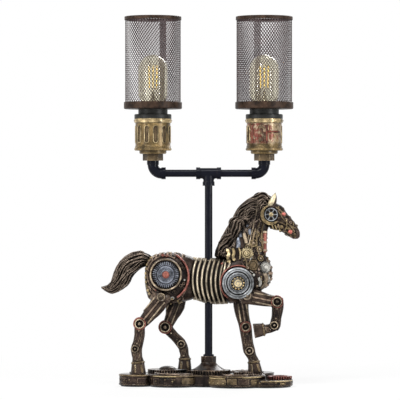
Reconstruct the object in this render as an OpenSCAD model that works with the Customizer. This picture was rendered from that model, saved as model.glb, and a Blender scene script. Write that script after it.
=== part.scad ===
// Desk lamp: a mechanical horse on a lobed base, with a pipe stem and two upright lamp heads
// Millimetres, +Z up, +X toward the horse's head, origin under the stem pipe on the bottom of the pad

/* [Base] */
// Thickness of the rubber pad under the base
pad_t = 1.5; // [1:0.5:3]
// Inset of the pad from the edge of the casting
pad_inset = 2.5; // [1:0.5:6]
// Height of the base casting
base_h = 17; // [16:0.5:26]
// Bevel around the top edge of every lobe
base_bevel = 1.6; // [0.5:0.1:3]
// Height by which the right-hand lobe is lower than the others
low_lobe = 7; // [3:0.5:9]
// Radius of a rivet head on the edge of the base
rivet_r = 1.7; // [1:0.1:2.5]
// Radius of the bore in the cord bushing
cord_bore_r = 3.5; // [2.5:0.25:4]

/* [Base gears] */
// Outside radius of the gear at the foot of the stem
flange_gear_r = 33; // [28:0.5:36]
// Thickness of the gear at the foot of the stem
flange_gear_h = 5.5; // [4:0.5:8]
// Number of teeth on the gear at the foot of the stem
flange_teeth = 48; // [30:2:60]
// Height of the concave cone above that gear
cone_h = 11.5; // [8:0.5:18]
// Outside radius of the domed gear on the left of the base
left_gear_r = 30; // [24:0.5:31]
// Outside radius of the gear beside the standing front hoof
hoof_gear_r = 15; // [10:0.5:15.5]
// Outside radius of the copper gear on the low lobe
copper_gear_r = 18.4; // [12:0.2:18.6]

/* [Pipework] */
// Outside diameter of the stem pipe
stem_d = 11.5; // [10:0.5:13]
// Outside diameter of the arm pipes
arm_d = 11; // [8.5:0.5:12]
// Wall of the stem and arm pipes
pipe_wall = 1.6; // [1.2:0.1:1.8]
// Height of the arm axis above the top of the horse's mane
arm_room = 31.25; // [26:0.25:70]
// Distance from the stem axis to each lamp axis
arm_reach = 83.5; // [78:0.5:110]
// Outside diameter of the tee and elbow bodies
fitting_d = 16; // [14.5:0.25:17]
// Outside diameter of the collars on the fittings
collar_d = 18; // [17.25:0.25:20]
// Length of each collar
collar_len = 6.25; // [5:0.25:9]
// Half length of the tee, from its centre to a collar end
tee_half = 18.75; // [16:0.25:24]
// Radius of the elbow's bend
bend_r = 13; // [11:0.5:18]

/* [Lamp heads] */
// Width of the socket nut across its flats
socket_nut_af = 26.5; // [20:0.5:30]
// Height of the socket nut
socket_nut_h = 10; // [7:0.5:14]
// Radius of the step washer under the cup
step_r = 20.3; // [17:0.1:24]
// Height of the step washer
step_h = 5; // [3:0.5:8]
// Outside radius of the cup's body
cup_r = 26.3; // [25.5:0.1:30]
// Height of the cup
cup_h = 48; // [46:0.5:60]
// Number of slot places around the cup
cup_slots = 12; // [8:1:14]
// Width of one slot
slot_w = 6; // [3:0.5:7]
// Height of the lampholder's flange
holder_flange_h = 6.5; // [4:0.5:9]
// Height of the lampholder's neck below the shade
holder_neck_h = 8; // [6:0.5:12]

/* [Shades and bulbs] */
// Outside radius of the mesh tube
mesh_r = 41.8; // [36:0.2:48]
// Height of the shade from the bottom of its pan to its rim
shade_h = 138.5; // [115:0.5:170]
// Height of the shade's lower band
pan_h = 10.5; // [8:0.5:18]
// Height of the shade's top rim
rim_h = 5; // [4:0.5:12]
// Number of diamond openings around the mesh, an even one
mesh_cells = 12; // [8:2:12]
// Number of rows of openings, each half a cell on from the row below
mesh_rows = 8; // [4:1:10]
// Width of the strands between the openings
mesh_strand = 3; // [2:0.5:4]
// Largest radius of the bulb
bulb_r = 22.5; // [19:0.5:27]
// Height of the bulb's glass above its cap
glass_h = 73; // [66:0.5:85]
// Pitch of the bulb's screw thread
thread_pitch = 3.63; // [3.5:0.01:3.7]

/* [Horse] */
// Height of the horse from the base to the top of its mane; the plan of the base follows it
horse_h = 269; // [242:1:320]
// Number of ribs around the barrel
ribs = 7; // [5:1:9]
// Depth of the grooves between the ribs
rib_depth = 2.4; // [1:0.2:3]
// Distance of each leg from the horse's middle plane
leg_y = 16; // [14:0.5:18]
// Outside radius of the toothed hip gear
hip_gear_r = 19.3; // [15:0.1:19.6]
// Number of teeth on the hip gear
hip_teeth = 40; // [24:2:48]
// Radius of the ringed shoulder disc
shoulder_r = 22.8; // [18:0.2:24]
// Radius of the eye wheel on the head
eye_r = 10; // [7:0.2:11]
// Radius of the copper strap over the haunch
strap_r = 1.6; // [1:0.1:2.2]

/* [Hidden] */
$fn = 64;
cut = 1;
gap = 0.3;
seat = 0.1;
base_top = pad_t + base_h;
// The horse and the plan of the base are drawn for a horse 269 mm high
horse_k = horse_h / 269;
arm_h = base_top + horse_h + arm_room;

// Base lobes: x, y, radius, how far the top is below the highest lobe
lobes = [
    for (l = [
        [-107, -2, 27, 0],
        [-51, -8, 40, 0],
        [0, 4, 44, 0],
        [41, -22, 44, 0],
        [86, -19, 39, low_lobe],
        [-62, 36, 34, 0],
        [0, 42, 34, 0],
        [62, 34, 37, 0]
    ])
        [horse_k * l[0], horse_k * l[1], horse_k * l[2], l[3]]
];
// Rivets: number of the lobe, degrees from the front toward +X, height
rivets = [
    [0, -70, 9], [0, -25, 9], [1, -57, 10.5], [1, -20, 10.5], [1, 0, 10.5], [1, 42, 10.5],
    [3, -40, 8.5], [3, -25.6, 8.5], [3, -8, 8.5], [3, 30, 8.5], [4, -16, 6],
    [4, 20, 6], [4, 45, 6], [4, 80, 6], [5, -150, 9], [5, -115, 9], [7, 110, 9], [7, 150, 9]
];
cave_r = 20;
cave_h = 10.5;
channel_w = 12;
channel_h = 9;
bush_w = 16;
bush_h = 13;
bush_in = lobes[6][1] + lobes[6][2] - 10;
bush_back = lobes[6][1] + lobes[6][2] - 1;
bush_out = bush_back + 6;
bush_z = pad_t + bush_h / 2;
splice_r = 2.5;
splice_x = splice_r + 0.4;
splice_y = cave_r + 6;
splice_z = pad_t + splice_r + 0.2;

stem_r = stem_d / 2;
arm_r = arm_d / 2;
stem_foot = pad_t + 4;
grip = 5.5;
way_r = 3.4;
wire_r = 1.35;
nut_low = base_top + flange_gear_h + cone_h;
nut_h = 9;
ring_h = 3;

nipple_r = 5;
elbow_top = arm_h + bend_r + collar_len - 0.25;
step_z = elbow_top + socket_nut_h;
cup_z = step_z + step_h;
cup_top = cup_z + cup_h;
band_h = 6.5;
foot_ring_h = 7;
cup_in = cup_r - 2.8;
band_in = cup_r - 1;
band_r = cup_r + 1.7;
neck_z = cup_top + holder_flange_h;
shade_z = neck_z + holder_neck_h;
holder_thread_r = 19.5;
holder_top = shade_z + 8.5;
shell_r = 14.1;
shell_t = 0.55;
cap_r = 13.2;
cap_len = 25;
button_h = 2.5;
cap_z = holder_top - cap_len;
pan_t = 1.5;
mesh_t = 0.8;
pan_wall = 1.7;

// Sizes of the horse's parts on its drawing
rib_cut = rib_depth / horse_k;
leg_off = leg_y / horse_k;
hip_wheel_r = hip_gear_r / horse_k;
disc_r = shoulder_r / horse_k;
eye_wheel_r = eye_r / horse_k;
strap_half = strap_r / horse_k;
far_step = flange_gear_h / horse_k;
hip = [-64, 148.9];
hip_seat = 28.5;
hip_ring_r = hip_wheel_r + 4.3;
strap_mid = [-66.5, 146];
strap_reach = 36.6;
shoulder = [43.8, 136.2];
shoulder_seat = 27.5;

// Smooth curve through hand-chosen stations
function blend(a, b, c, d, t) =
    0.5 * (2 * b + (c - a) * t + (2 * a - 5 * b + 4 * c - d) * t * t + (3 * b - a - 3 * c + d) * t * t * t);
function smooth(p, n) = [
    for (i = [0 : len(p) - 2])
        for (k = [0 : n - 1])
            blend(p[max(i - 1, 0)], p[i], p[i + 1], p[min(i + 2, len(p) - 1)], k / n),
    p[len(p) - 1]
];
function unit(v) = v / norm(v);
function power(v, e) = sign(v) * pow(abs(v), e);
function mean(p) = [for (i = [0 : 2]) sum([for (q = p) q[i]]) / len(p)];
function sum(v) = v * [for (q = v) 1];

// Section across a path in the XZ plane; a station is x, z, half height, half depth
function heading(s, i) =
    let (a = s[max(i - 1, 0)], b = s[min(i + 1, len(s) - 1)]) unit([b[0] - a[0], b[1] - a[1]]);
function section(s, i, n, e, y) =
    let (h = heading(s, i))
    [for (k = [0 : n - 1])
        let (u = s[i][2] * power(cos(360 * k / n), 2 / e), v = s[i][3] * power(sin(360 * k / n), 2 / e))
        [s[i][0] - h[1] * u, y + v, s[i][1] + h[0] * u]];

// Skin over a list of rings, closed at both ends
module skin(rings) {
    n = len(rings[0]);
    m = len(rings);
    points = concat([for (r = rings) each r], [mean(rings[0]), mean(rings[m - 1])]);
    sides = [
        for (i = [0 : m - 2])
            for (k = [0 : n - 1])
                each [
                    [i * n + k, i * n + (k + 1) % n, (i + 1) * n + k],
                    [i * n + (k + 1) % n, (i + 1) * n + (k + 1) % n, (i + 1) * n + k]
                ]
    ];
    ends = [
        for (k = [0 : n - 1])
            each [
                [m * n, (k + 1) % n, k],
                [m * n + 1, (m - 1) * n + k, (m - 1) * n + (k + 1) % n]
            ]
    ];
    polyhedron(points, concat(sides, ends), convexity = 6);
}

// Body of changing section along a smooth path
module loft(stations, n, sides, e, y = 0) {
    s = smooth(stations, n);
    skin([for (i = [0 : len(s) - 1]) section(s, i, sides, e, y)]);
}

// Round tube along points in space
module tube(path, r, sides) {
    m = len(path) - 1;
    skin([
        for (i = [0 : m])
            let (
                t = unit(path[min(i + 1, m)] - path[max(i - 1, 0)]),
                a = unit(cross([0, 1, 0.001], t)),
                b = cross(a, t)
            )
            [for (k = [0 : sides - 1]) path[i] + r * (a * cos(360 * k / sides) + b * sin(360 * k / sides))]
    ]);
}

// Flat gear outline
module gear_outline(r, teeth, depth) {
    step = 360 / teeth;
    polygon([
        for (i = [0 : teeth - 1])
            each [
                for (q = [[r - depth, -0.32], [r, -0.17], [r, 0.17], [r - depth, 0.32]])
                    q[0] * [cos((i + q[1]) * step), sin((i + q[1]) * step)]
            ]
    ]);
}

module hexagon(af, h) {
    cylinder(r = af / 2 / cos(30), h = h, $fn = 6);
}

module both_lamps() {
    for (s = [-1, 1])
        translate([s * arm_reach, 0, 0])
            children();
}

module on_lamp(s) {
    translate([s * arm_reach, 0, 0])
        children();
}

module both_flanks() {
    children();
    mirror([0, 1, 0])
        children();
}

// Turns a shape built on +Z so that it stands out of the near flank
module on_flank(x, y, z) {
    translate([x, -y, z])
        rotate([90, 0, 0])
            children();
}

module lobe(l, inset, z, h, bevel) {
    r = l[2] - inset;
    translate([l[0], l[1], z])
        rotate_extrude($fn = 96)
            polygon([[0, 0], [r - bevel / 2, 0], [r, bevel / 2], [r, h - bevel], [r - bevel, h], [0, h]]);
}

module base_pad() {
    color("#1c1b1a")
        linear_extrude(pad_t)
            for (l = lobes)
                translate([l[0], l[1]])
                    circle(r = l[2] - pad_inset, $fn = 96);
}

module base_casting() {
    color("#3d2f22")
        difference() {
            union()
                for (l = lobes)
                    lobe(l, 0, pad_t, base_h - l[3], base_bevel);
            translate([0, 0, pad_t - cut])
                cylinder(r = cave_r, h = cave_h + cut);
            translate([-channel_w / 2, 0, pad_t - cut])
                cube([channel_w, bush_in + cut, channel_h + cut]);
            translate([-bush_w / 2, bush_in, pad_t - cut])
                cube([bush_w, bush_out - bush_in, bush_h + cut]);
            cylinder(r = stem_r + seat, h = base_top + cut);
        }
}

module rivet() {
    rotate_extrude($fn = 24)
        polygon(concat([[0, 0]], [for (a = [0 : 15 : 90]) [rivet_r * cos(a), 0.75 * rivet_r * sin(a)]]));
}

module base_rivets() {
    color("#8a6a35")
        for (q = rivets)
            translate([lobes[q[0]][0], lobes[q[0]][1], pad_t + q[2]])
                rotate([0, 0, q[1]])
                    translate([0, -lobes[q[0]][2], 0])
                        rotate([90, 0, 0])
                            rivet();
}

module domed_gear(r, teeth, depth, h, dome_r, dome_h) {
    linear_extrude(h)
        gear_outline(r, teeth, depth);
    translate([0, 0, h])
        rotate_extrude()
            polygon(concat([[0, 0]], [for (a = [0 : 10 : 90]) [dome_r * cos(a), dome_h * sin(a)]]));
}

module base_gears() {
    color("#4b3a26")
        translate([0, 0, base_top]) {
            translate([-62 * horse_k, 35 * horse_k, 0])
                domed_gear(left_gear_r, 44, 2.4, 4.5, 13, 5);
            translate([52 * horse_k, -16 * horse_k, 0])
                domed_gear(hoof_gear_r, 24, 2, 3.5, 8, 2);
        }
}

module copper_gear() {
    color("#7d4a30")
        translate([106 * horse_k, -21 * horse_k, base_top - low_lobe])
            difference() {
                union() {
                    linear_extrude(4.5)
                        gear_outline(copper_gear_r, 30, 2.2);
                    cylinder(r = copper_gear_r * 0.62, h = 5.5);
                }
                translate([0, 0, 3.5])
                    cylinder(r = copper_gear_r * 0.4, h = 3);
            }
}

module flange_gear() {
    color("#54412a")
        translate([0, 0, base_top])
            linear_extrude(flange_gear_h)
                difference() {
                    gear_outline(flange_gear_r, flange_teeth, 2.6);
                    circle(r = stem_r + seat);
                }
}

module flange_cone() {
    color("#54412a")
        translate([0, 0, base_top + flange_gear_h])
            rotate_extrude()
                polygon(concat(
                    [[stem_r + seat, 0]],
                    [for (t = [0 : 0.125 : 1])
                        [11.3 + (flange_gear_r - 6.8 - 11.3) * pow(1 - t, 1.6), cone_h * t]],
                    [[stem_r + seat, cone_h]]
                ));
}

module flange_nut() {
    color("#6b5230")
        translate([0, 0, nut_low])
            difference() {
                hexagon(19.6, nut_h);
                translate([0, 0, -cut])
                    cylinder(r = stem_r + seat, h = nut_h + 2 * cut);
            }
}

module lock_ring() {
    color("#20242c")
        translate([0, 0, nut_low + nut_h])
            rotate_extrude()
                polygon([
                    [stem_r + seat, 0], [stem_r + 2.3, 0], [stem_r + 2.3, ring_h - 0.8],
                    [stem_r + 1.5, ring_h], [stem_r + seat, ring_h]
                ]);
}

module pipe(r, wall, from, to) {
    translate([0, 0, from])
        rotate_extrude()
            polygon([[r - wall, 0], [r, 0], [r, to - from], [r - wall, to - from]]);
}

module stem_pipe() {
    color("#232833")
        pipe(stem_r, pipe_wall, stem_foot, arm_h - tee_half + grip);
}

module stem_washer() {
    color("#8d9096")
        pipe(13, 13 - stem_r - seat, pad_t + cave_h - 1.5, pad_t + cave_h);
}

module stem_lock_nut() {
    color("#8d9096")
        translate([0, 0, stem_foot + 0.75])
            difference() {
                hexagon(18, cave_h - 1.5 - (stem_foot - pad_t) - 0.75);
                translate([0, 0, -cut])
                    cylinder(r = stem_r + seat, h = cave_h);
            }
}

module cord_bushing() {
    color("#191919")
        difference() {
            union() {
                translate([-bush_w / 2, bush_in, pad_t])
                    cube([bush_w, bush_back - bush_in, bush_h]);
                translate([0, bush_back, bush_z])
                    rotate([-90, 0, 0])
                        cylinder(r1 = 6.4, r2 = 5.2, h = bush_out - bush_back);
            }
            translate([0, bush_in - cut, bush_z])
                rotate([-90, 0, 0])
                    cylinder(r = cord_bore_r, h = bush_out - bush_in + 2 * cut);
        }
}

module splice_caps() {
    color("#c9a24a")
        for (s = [-1, 1])
            translate([s * splice_x, splice_y, splice_z])
                rotate([-90, 0, 0])
                    cylinder(r1 = splice_r, r2 = splice_r - 0.6, h = 14);
}

module tee() {
    color("#232833")
        translate([0, 0, arm_h])
            difference() {
                union() {
                    rotate([0, 90, 0])
                        cylinder(d = fitting_d, h = 2 * tee_half, center = true);
                    for (s = [-1, 1])
                        translate([s * (tee_half - collar_len / 2), 0, 0])
                            rotate([0, 90, 0])
                                cylinder(d = collar_d, h = collar_len, center = true);
                    translate([0, 0, -tee_half])
                        cylinder(d = fitting_d, h = tee_half);
                    translate([0, 0, -tee_half])
                        cylinder(d = collar_d, h = collar_len);
                    translate([0, fitting_d / 4, 0])
                        rotate([90, 0, 0])
                            linear_extrude(fitting_d / 2)
                                difference() {
                                    translate([-12.5, -12.5])
                                        square([25, 12.5]);
                                    for (s = [-1, 1])
                                        translate([s * 12.5, -12.5])
                                            circle(r = 5.4);
                                }
                }
                rotate([0, 90, 0])
                    cylinder(r = way_r, h = 2 * tee_half, center = true);
                for (s = [-1, 1])
                    translate([s * (tee_half - grip / 2 + cut / 2), 0, 0])
                        rotate([0, 90, 0])
                            cylinder(r = arm_r + seat, h = grip + cut, center = true);
                translate([0, 0, -tee_half - cut])
                    cylinder(r = way_r, h = tee_half + cut);
                translate([0, 0, -tee_half - cut])
                    cylinder(r = stem_r + seat, h = grip + cut);
            }
}

module arm_pipes() {
    color("#232833")
        for (s = [-1, 1])
            translate([0, 0, arm_h])
                rotate([0, s * 90, 0])
                    pipe(arm_r, pipe_wall, tee_half - grip, arm_reach - bend_r - collar_len + grip);
}

// Elbow with its centre on the lamp axis, its arm end toward +X
module elbow() {
    lap = 0.2;
    difference() {
        union() {
            translate([bend_r, 0, bend_r])
                rotate([90, 0, 0])
                    rotate([0, 0, 180])
                        rotate_extrude(angle = 90)
                            translate([bend_r, 0])
                                circle(d = fitting_d);
            translate([bend_r - lap, 0, 0])
                rotate([0, 90, 0])
                    cylinder(d = collar_d, h = collar_len + lap);
            translate([0, 0, bend_r - lap])
                cylinder(d = collar_d, h = collar_len - 0.25 + lap);
        }
        translate([bend_r, 0, bend_r])
            rotate([90, 0, 0])
                rotate([0, 0, 180])
                    rotate_extrude(angle = 90)
                        translate([bend_r, 0])
                            circle(r = way_r);
        translate([bend_r - lap, 0, 0])
            rotate([0, 90, 0])
                cylinder(r = arm_r + seat, h = collar_len + lap + cut);
        translate([0, 0, bend_r - lap])
            cylinder(r = nipple_r + seat, h = collar_len + lap + cut);
    }
}

module elbows() {
    color("#232833")
        for (s = [-1, 1])
            translate([s * arm_reach, 0, arm_h])
                rotate([0, 0, s < 0 ? 0 : 180])
                    elbow();
}

module socket_nipples() {
    color("#9a8350")
        both_lamps()
            pipe(nipple_r, 1.4, arm_h + bend_r + collar_len - grip, cup_z + 25);
}

module socket_nuts() {
    color("#2a2620")
        both_lamps()
            translate([0, 0, elbow_top])
                difference() {
                    hexagon(socket_nut_af, socket_nut_h);
                    translate([0, 0, -cut])
                        cylinder(r = nipple_r + seat, h = socket_nut_h + 2 * cut);
                }
}

module step_washers() {
    color("#3a2f22")
        both_lamps()
            translate([0, 0, step_z])
                rotate_extrude()
                    polygon([
                        [nipple_r + seat, 0], [step_r - 1.5, 0], [step_r, 1.2],
                        [step_r, step_h], [nipple_r + seat, step_h]
                    ]);
}

// Copper pipework lying half sunk in the cup, around its axis
module pipe_relief(r) {
    for (a = [-38, 12])
        rotate([0, 0, a])
            translate([cup_r, 0, foot_ring_h + 4])
                cylinder(r = r, h = cup_h - band_h - foot_ring_h - 8, $fn = 24);
    translate([0, 0, cup_h * 0.58])
        rotate([0, 0, 12])
            rotate_extrude(angle = 48)
                translate([cup_r, 0])
                    circle(r = r, $fn = 24);
}

module cup() {
    slot_h = cup_h - band_h - foot_ring_h - 10;
    difference() {
        rotate_extrude($fn = 96)
            polygon([
                [nipple_r + seat, 0], [cup_r + 0.6, 0], [cup_r + 1.7, 1.4], [cup_r + 1.5, 3.2],
                [cup_r + 0.4, 4.6], [cup_r + 0.8, 6], [cup_r, foot_ring_h], [cup_r, cup_h - band_h],
                [band_in, cup_h - band_h], [band_in, cup_h], [cup_in, cup_h], [cup_in, 3],
                [nipple_r + seat, 3]
            ]);
        for (i = [0 : cup_slots - 5])
            rotate([0, 0, 90 + i * 360 / cup_slots])
                translate([cup_r - 1.5, 0, foot_ring_h + 5 + slot_w / 2])
                    rotate([0, 90, 0]) {
                        cylinder(d = slot_w, h = 3, $fn = 32);
                        translate([slot_w - slot_h, 0, 0])
                            cylinder(d = slot_w, h = 3, $fn = 32);
                        translate([slot_w - slot_h, -slot_w / 2, 0])
                            cube([slot_h - slot_w, slot_w, 3]);
                    }
        pipe_relief(1.55);
    }
}

module cup_turned(s) {
    on_lamp(s)
        translate([0, 0, cup_z])
            rotate([0, 0, s < 0 ? 70 : -95])
                children();
}

module cups() {
    color("#9a7a3c")
        for (s = [-1, 1])
            cup_turned(s)
                cup();
}

module cup_pipes() {
    color("#8a4a32")
        for (s = [-1, 1])
            cup_turned(s)
                pipe_relief(1.45);
}

module rivet_bands() {
    color("#a5823e")
        both_lamps()
            translate([0, 0, cup_top - band_h]) {
                rotate_extrude($fn = 96)
                    polygon([
                        [band_in + seat, 0], [band_r - 0.6, 0], [band_r, 0.6], [band_r, band_h - 0.6],
                        [band_r - 0.6, band_h], [band_in + seat, band_h]
                    ]);
                for (i = [0 : 13])
                    rotate([0, 0, i * 360 / 14])
                        translate([band_r - 0.3, 0, band_h / 2])
                            sphere(r = 1.2, $fn = 24);
            }
}

module lampholders() {
    low = cup_z + 19;
    floor_z = cap_z - button_h - 1.5;
    color("#1d201e")
        both_lamps()
            rotate_extrude($fn = 96)
                polygon([
                    [nipple_r + seat, low], [cup_in - gap, low], [cup_in - gap, cup_top],
                    [band_r - 0.2, cup_top],
                    [band_r - 0.2, neck_z - 0.8], [band_r - 1, neck_z], [22, neck_z], [22, shade_z],
                    [holder_thread_r, shade_z], [holder_thread_r, holder_top - 0.7],
                    [holder_thread_r - 0.7, holder_top], [shell_r + seat, holder_top],
                    [shell_r + seat, floor_z], [2.2, floor_z], [2.2, cup_z + 25],
                    [nipple_r + seat, cup_z + 25]
                ]);
}

module screw_shells() {
    color("#c8a552")
        both_lamps()
            rotate_extrude()
                polygon([
                    [shell_r - 2.5, cap_z - button_h - 1.5], [shell_r, cap_z - button_h - 1.5],
                    [shell_r, holder_top - 3], [shell_r - shell_t, holder_top - 3],
                    [shell_r - shell_t, cap_z - button_h - 0.9], [shell_r - 2.5, cap_z - button_h - 0.9]
                ]);
}

module centre_contacts() {
    color("#c8a552")
        both_lamps()
            translate([0, 0, cap_z - button_h - 1.5])
                rotate_extrude()
                    polygon([[0, 0], [6, 0], [6, 0.6], [4, 1.5], [0, 1.5]]);
}

// Lead from the base cave up the stem, along one arm and up into a lampholder
module lead(s) {
    x0 = wire_r + 0.3;
    low = pad_t + wire_r + 0.3;
    turn = stem_r - pipe_wall - wire_r;
    b = 5;
    e = arm_reach;
    path = concat(
        [[splice_x, splice_y - 0.3, splice_z], [x0, splice_y - 9, low]],
        [for (a = [0 : 18 : 90]) [x0, turn - turn * sin(a), low + turn - turn * cos(a)]],
        [[x0, 0, arm_h / 2]],
        [for (a = [0 : 15 : 90]) [x0 + b - b * cos(a), 0, arm_h - b + b * sin(a)]],
        [for (a = [0 : 15 : 90]) [e - bend_r + bend_r * sin(a), 0, arm_h + bend_r - bend_r * cos(a)]],
        [[e, 0, cup_z + 14], [e, 0, cup_z + 30]]
    );
    mirror([s < 0 ? 1 : 0, 0, 0])
        tube(path, wire_r, 8);
}

module lamp_wires() {
    color("#d8d3c4")
        for (s = [-1, 1])
            lead(s);
}

module shade_ring(s) {
    on_lamp(s)
        translate([0, 0, shade_z + pan_t])
            difference() {
                rotate_extrude()
                    polygon([
                        [holder_thread_r + gap, 0], [25, 0], [25, 2], [23.4, 2.6], [23.4, 6],
                        [holder_thread_r + gap, 6]
                    ]);
                for (i = [0 : 11])
                    rotate([0, 0, i * 30])
                        translate([22.6, -1, 3.2])
                            cube([3, 2, 4]);
            }
}

module shade_pan(s) {
    r = mesh_r + seat;
    on_lamp(s)
        translate([0, 0, shade_z])
            rotate_extrude($fn = 96)
                polygon([
                    [holder_thread_r + gap, 0], [r + pan_wall - 1, 0], [r + pan_wall, 1],
                    [r + pan_wall, pan_h - 0.8], [r + pan_wall - 0.8, pan_h], [r, pan_h],
                    [r, pan_t], [holder_thread_r + gap, pan_t]
                ]);
}

// Diamond openings in the wall of the mesh tube, between the lower band and the rim
module mesh_openings() {
    deep = 5;
    cell_w = 2 * PI * mesh_r / mesh_cells;
    row_h = (shade_h - pan_h - rim_h) / (mesh_rows + 1);
    share = 1 - mesh_strand * norm([cell_w / 2, row_h]) / (cell_w * row_h);
    for (j = [1 : mesh_rows], i = [1 : mesh_cells])
        translate([0, 0, pan_h + j * row_h])
            rotate([90, 0, (i + j % 2 / 2 + 0.1) * 360 / mesh_cells])
                translate([0, 0, mesh_r - deep])
                    linear_extrude(height = deep + cut)
                        polygon(share * [[-cell_w / 2, 0], [0, -row_h], [cell_w / 2, 0], [0, row_h]]);
}

module shade_mesh(s) {
    on_lamp(s)
        translate([0, 0, shade_z])
            difference() {
                translate([0, 0, pan_t]) {
                    rotate_extrude($fn = 96)
                        translate([mesh_r - mesh_t, 0])
                            square([mesh_t, shade_h - pan_t - 1]);
                    rotate([0, 0, s < 0 ? 62 : 97])
                        rotate_extrude(angle = 14, $fn = 96)
                            translate([mesh_r - 1.9 * mesh_t, 0])
                                square([mesh_t, shade_h - pan_t - 1]);
                }
                mesh_openings();
            }
}

module shade_rim(s) {
    r = mesh_r + seat;
    on_lamp(s)
        translate([0, 0, shade_z + shade_h])
            rotate_extrude($fn = 96)
                polygon([
                    [mesh_r - mesh_t - 0.5, -1], [r, -1], [r, -rim_h], [r + 0.8, -rim_h], [r + 0.8, -0.5],
                    [r + 0.3, 0], [mesh_r - mesh_t - 0.5, 0]
                ]);
}

module bulb_cap(s) {
    turns = 5;
    thread_z = cap_z + 4.5;
    color("#b8b4a8")
        on_lamp(s)
            rotate_extrude()
                polygon(concat(
                    [[0, cap_z - button_h], [4.2, cap_z - button_h], [4.6, cap_z - 1], [5.5, cap_z],
                        [11.2, cap_z + 3]],
                    [for (i = [0 : turns * 4])
                        [cap_r - 0.45 + 0.45 * sin(i * 90 - 90), thread_z + i * thread_pitch / 4]],
                    [[cap_r - 0.2, cap_z + cap_len - 1], [cap_r - 0.2, cap_z + cap_len],
                    [0, cap_z + cap_len]]
                ));
}

// Outline of the glass from its neck to its tip, taken in by t
function glass_line(t) = concat(
    [for (q = [[13, 0], [17, 3], [20.4, 7], [22.2, 12]]) [q[0] * bulb_r / 22.5 - t, q[1]]],
    [for (a = [0 : 10 : 90]) [(bulb_r - t) * cos(a), glass_h - bulb_r + (bulb_r - t) * sin(a)]]
);

module bulb_glass(s) {
    inner = glass_line(0.9);
    m = len(inner) - 1;
    color("#e8dcae")
        on_lamp(s)
            translate([0, 0, holder_top])
                rotate_extrude($fn = 72)
                    polygon(concat(glass_line(0), [for (i = [0 : m]) inner[m - i]]));
}

module filament(s) {
    low = 22;
    high = glass_h - 15;
    color("#d79a3a")
        on_lamp(s)
            translate([0, 0, holder_top])
                union() {
                    rotate_extrude($fn = 32)
                        polygon([
                            [0, 0], [9, 0], [9, 1], [3, 6], [2.4, 14], [1.6, low - 2], [0.7, low - 1],
                            [0.7, high + 3], [0, high + 3]
                        ]);
                    for (z = [low, high])
                        translate([0, 0, z])
                            cylinder(r = 7.5, h = 0.8, $fn = 32);
                    for (i = [0 : 7])
                        rotate([0, 0, i * 45])
                            translate([6.6, 0, low + 0.4])
                                cylinder(r = 0.4, h = high - low, $fn = 16);
                }
}

module left_shade_ring() { color("#22201e") shade_ring(-1); }
module left_shade_pan() { color("#3b2a20") shade_pan(-1); }
module left_shade_mesh() { color("#75686a") shade_mesh(-1); }
module left_shade_rim() { color("#3b2a20") shade_rim(-1); }
module left_bulb_cap() { bulb_cap(-1); }
module left_bulb_glass() { bulb_glass(-1); }
module left_filament() { filament(-1); }
module right_shade_ring() { color("#22201e") shade_ring(1); }
module right_shade_pan() { color("#3b2a20") shade_pan(1); }
module right_shade_mesh() { color("#75686a") shade_mesh(1); }
module right_shade_rim() { color("#3b2a20") shade_rim(1); }
module right_bulb_cap() { bulb_cap(1); }
module right_bulb_glass() { bulb_glass(1); }
module right_filament() { filament(1); }

// Trunk stations: x, height of the middle above the base, half height, half width
trunk = smooth([
    [-95.5, 145, 12, 8], [-91, 141.5, 28, 17], [-80, 142, 36, 25], [-65, 142, 39.5, 27.5],
    [-50, 143, 37.5, 27.5], [-38, 143, 34.5, 25.5], [-27.5, 142.5, 32, 24], [-12.5, 139.5, 34, 24.5],
    [2.5, 138.5, 35, 25.5], [17.5, 139, 35, 26], [32.5, 142, 36.5, 26], [47.5, 146, 38, 25.5],
    [62.5, 150.5, 37, 23.5], [77.5, 153.5, 30, 19], [88.6, 152.5, 21.5, 13], [95, 150.5, 8, 5]
], 4);
rear_x = -27.5;
front_x = 20.5;
trunk_e = 2.2;

function trunk_row(x, i) = lookup(x, [for (s = trunk) [s[0], s[i]]]);
function lean(x) = lookup(x, [[-70, 0], [rear_x, 7], [front_x, 7], [70, 0]]);
function trunk_ring(x, sink) =
    [for (k = [0 : 27])
        let (c = power(cos(k * 360 / 28), 2 / trunk_e), s = power(sin(k * 360 / 28), 2 / trunk_e))
        [x + lean(x) * c * c, (trunk_row(x, 3) - sink) * s, trunk_row(x, 1) + (trunk_row(x, 2) - sink) * c]];
// Half width of the trunk where the point x, z meets its side
function trunk_side(x, z) =
    let (c = min(1, abs(z - trunk_row(x, 1)) / trunk_row(x, 2)), q = x - lean(x) * c * c,
        d = min(1, abs(z - trunk_row(q, 1)) / trunk_row(q, 2)))
    trunk_row(q, 3) * pow(1 - pow(d, trunk_e), 1 / trunk_e);

neck_line = [
    [47.5, 167, 38, 21], [55, 186.5, 33.5, 17], [62.5, 204.5, 26.5, 13.5], [68.5, 221, 21.5, 11.5],
    [76, 239, 17, 10.5], [82, 255.5, 11, 8.5], [86, 263.5, 4, 4]
];
head_line = [
    [86.5, 250, 12, 9.5], [94.8, 240.5, 18.3, 12.5], [103.3, 232, 17.4, 12], [112.3, 226, 13.6, 10],
    [120.6, 219, 11.6, 8.5], [127, 212, 9.6, 8], [132.3, 206.5, 6.8, 6.5], [135.5, 203.5, 2, 2.5]
];

module on_base() {
    translate([0, 0, base_top])
        scale(horse_k)
            children();
}

module hind_mass() {
    skin(concat(
        [for (x = [-95.5, -93.5, -91, -86, -80, -72, -64, -56, -48, -40, -33]) trunk_ring(x, 0)],
        [trunk_ring(rear_x, rib_cut)]
    ));
    translate([hip[0], 0, hip[1]])
        rotate([90, 0, 0])
            cylinder(r = hip_ring_r + 0.8, h = 2 * hip_seat, center = true);
}

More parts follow.
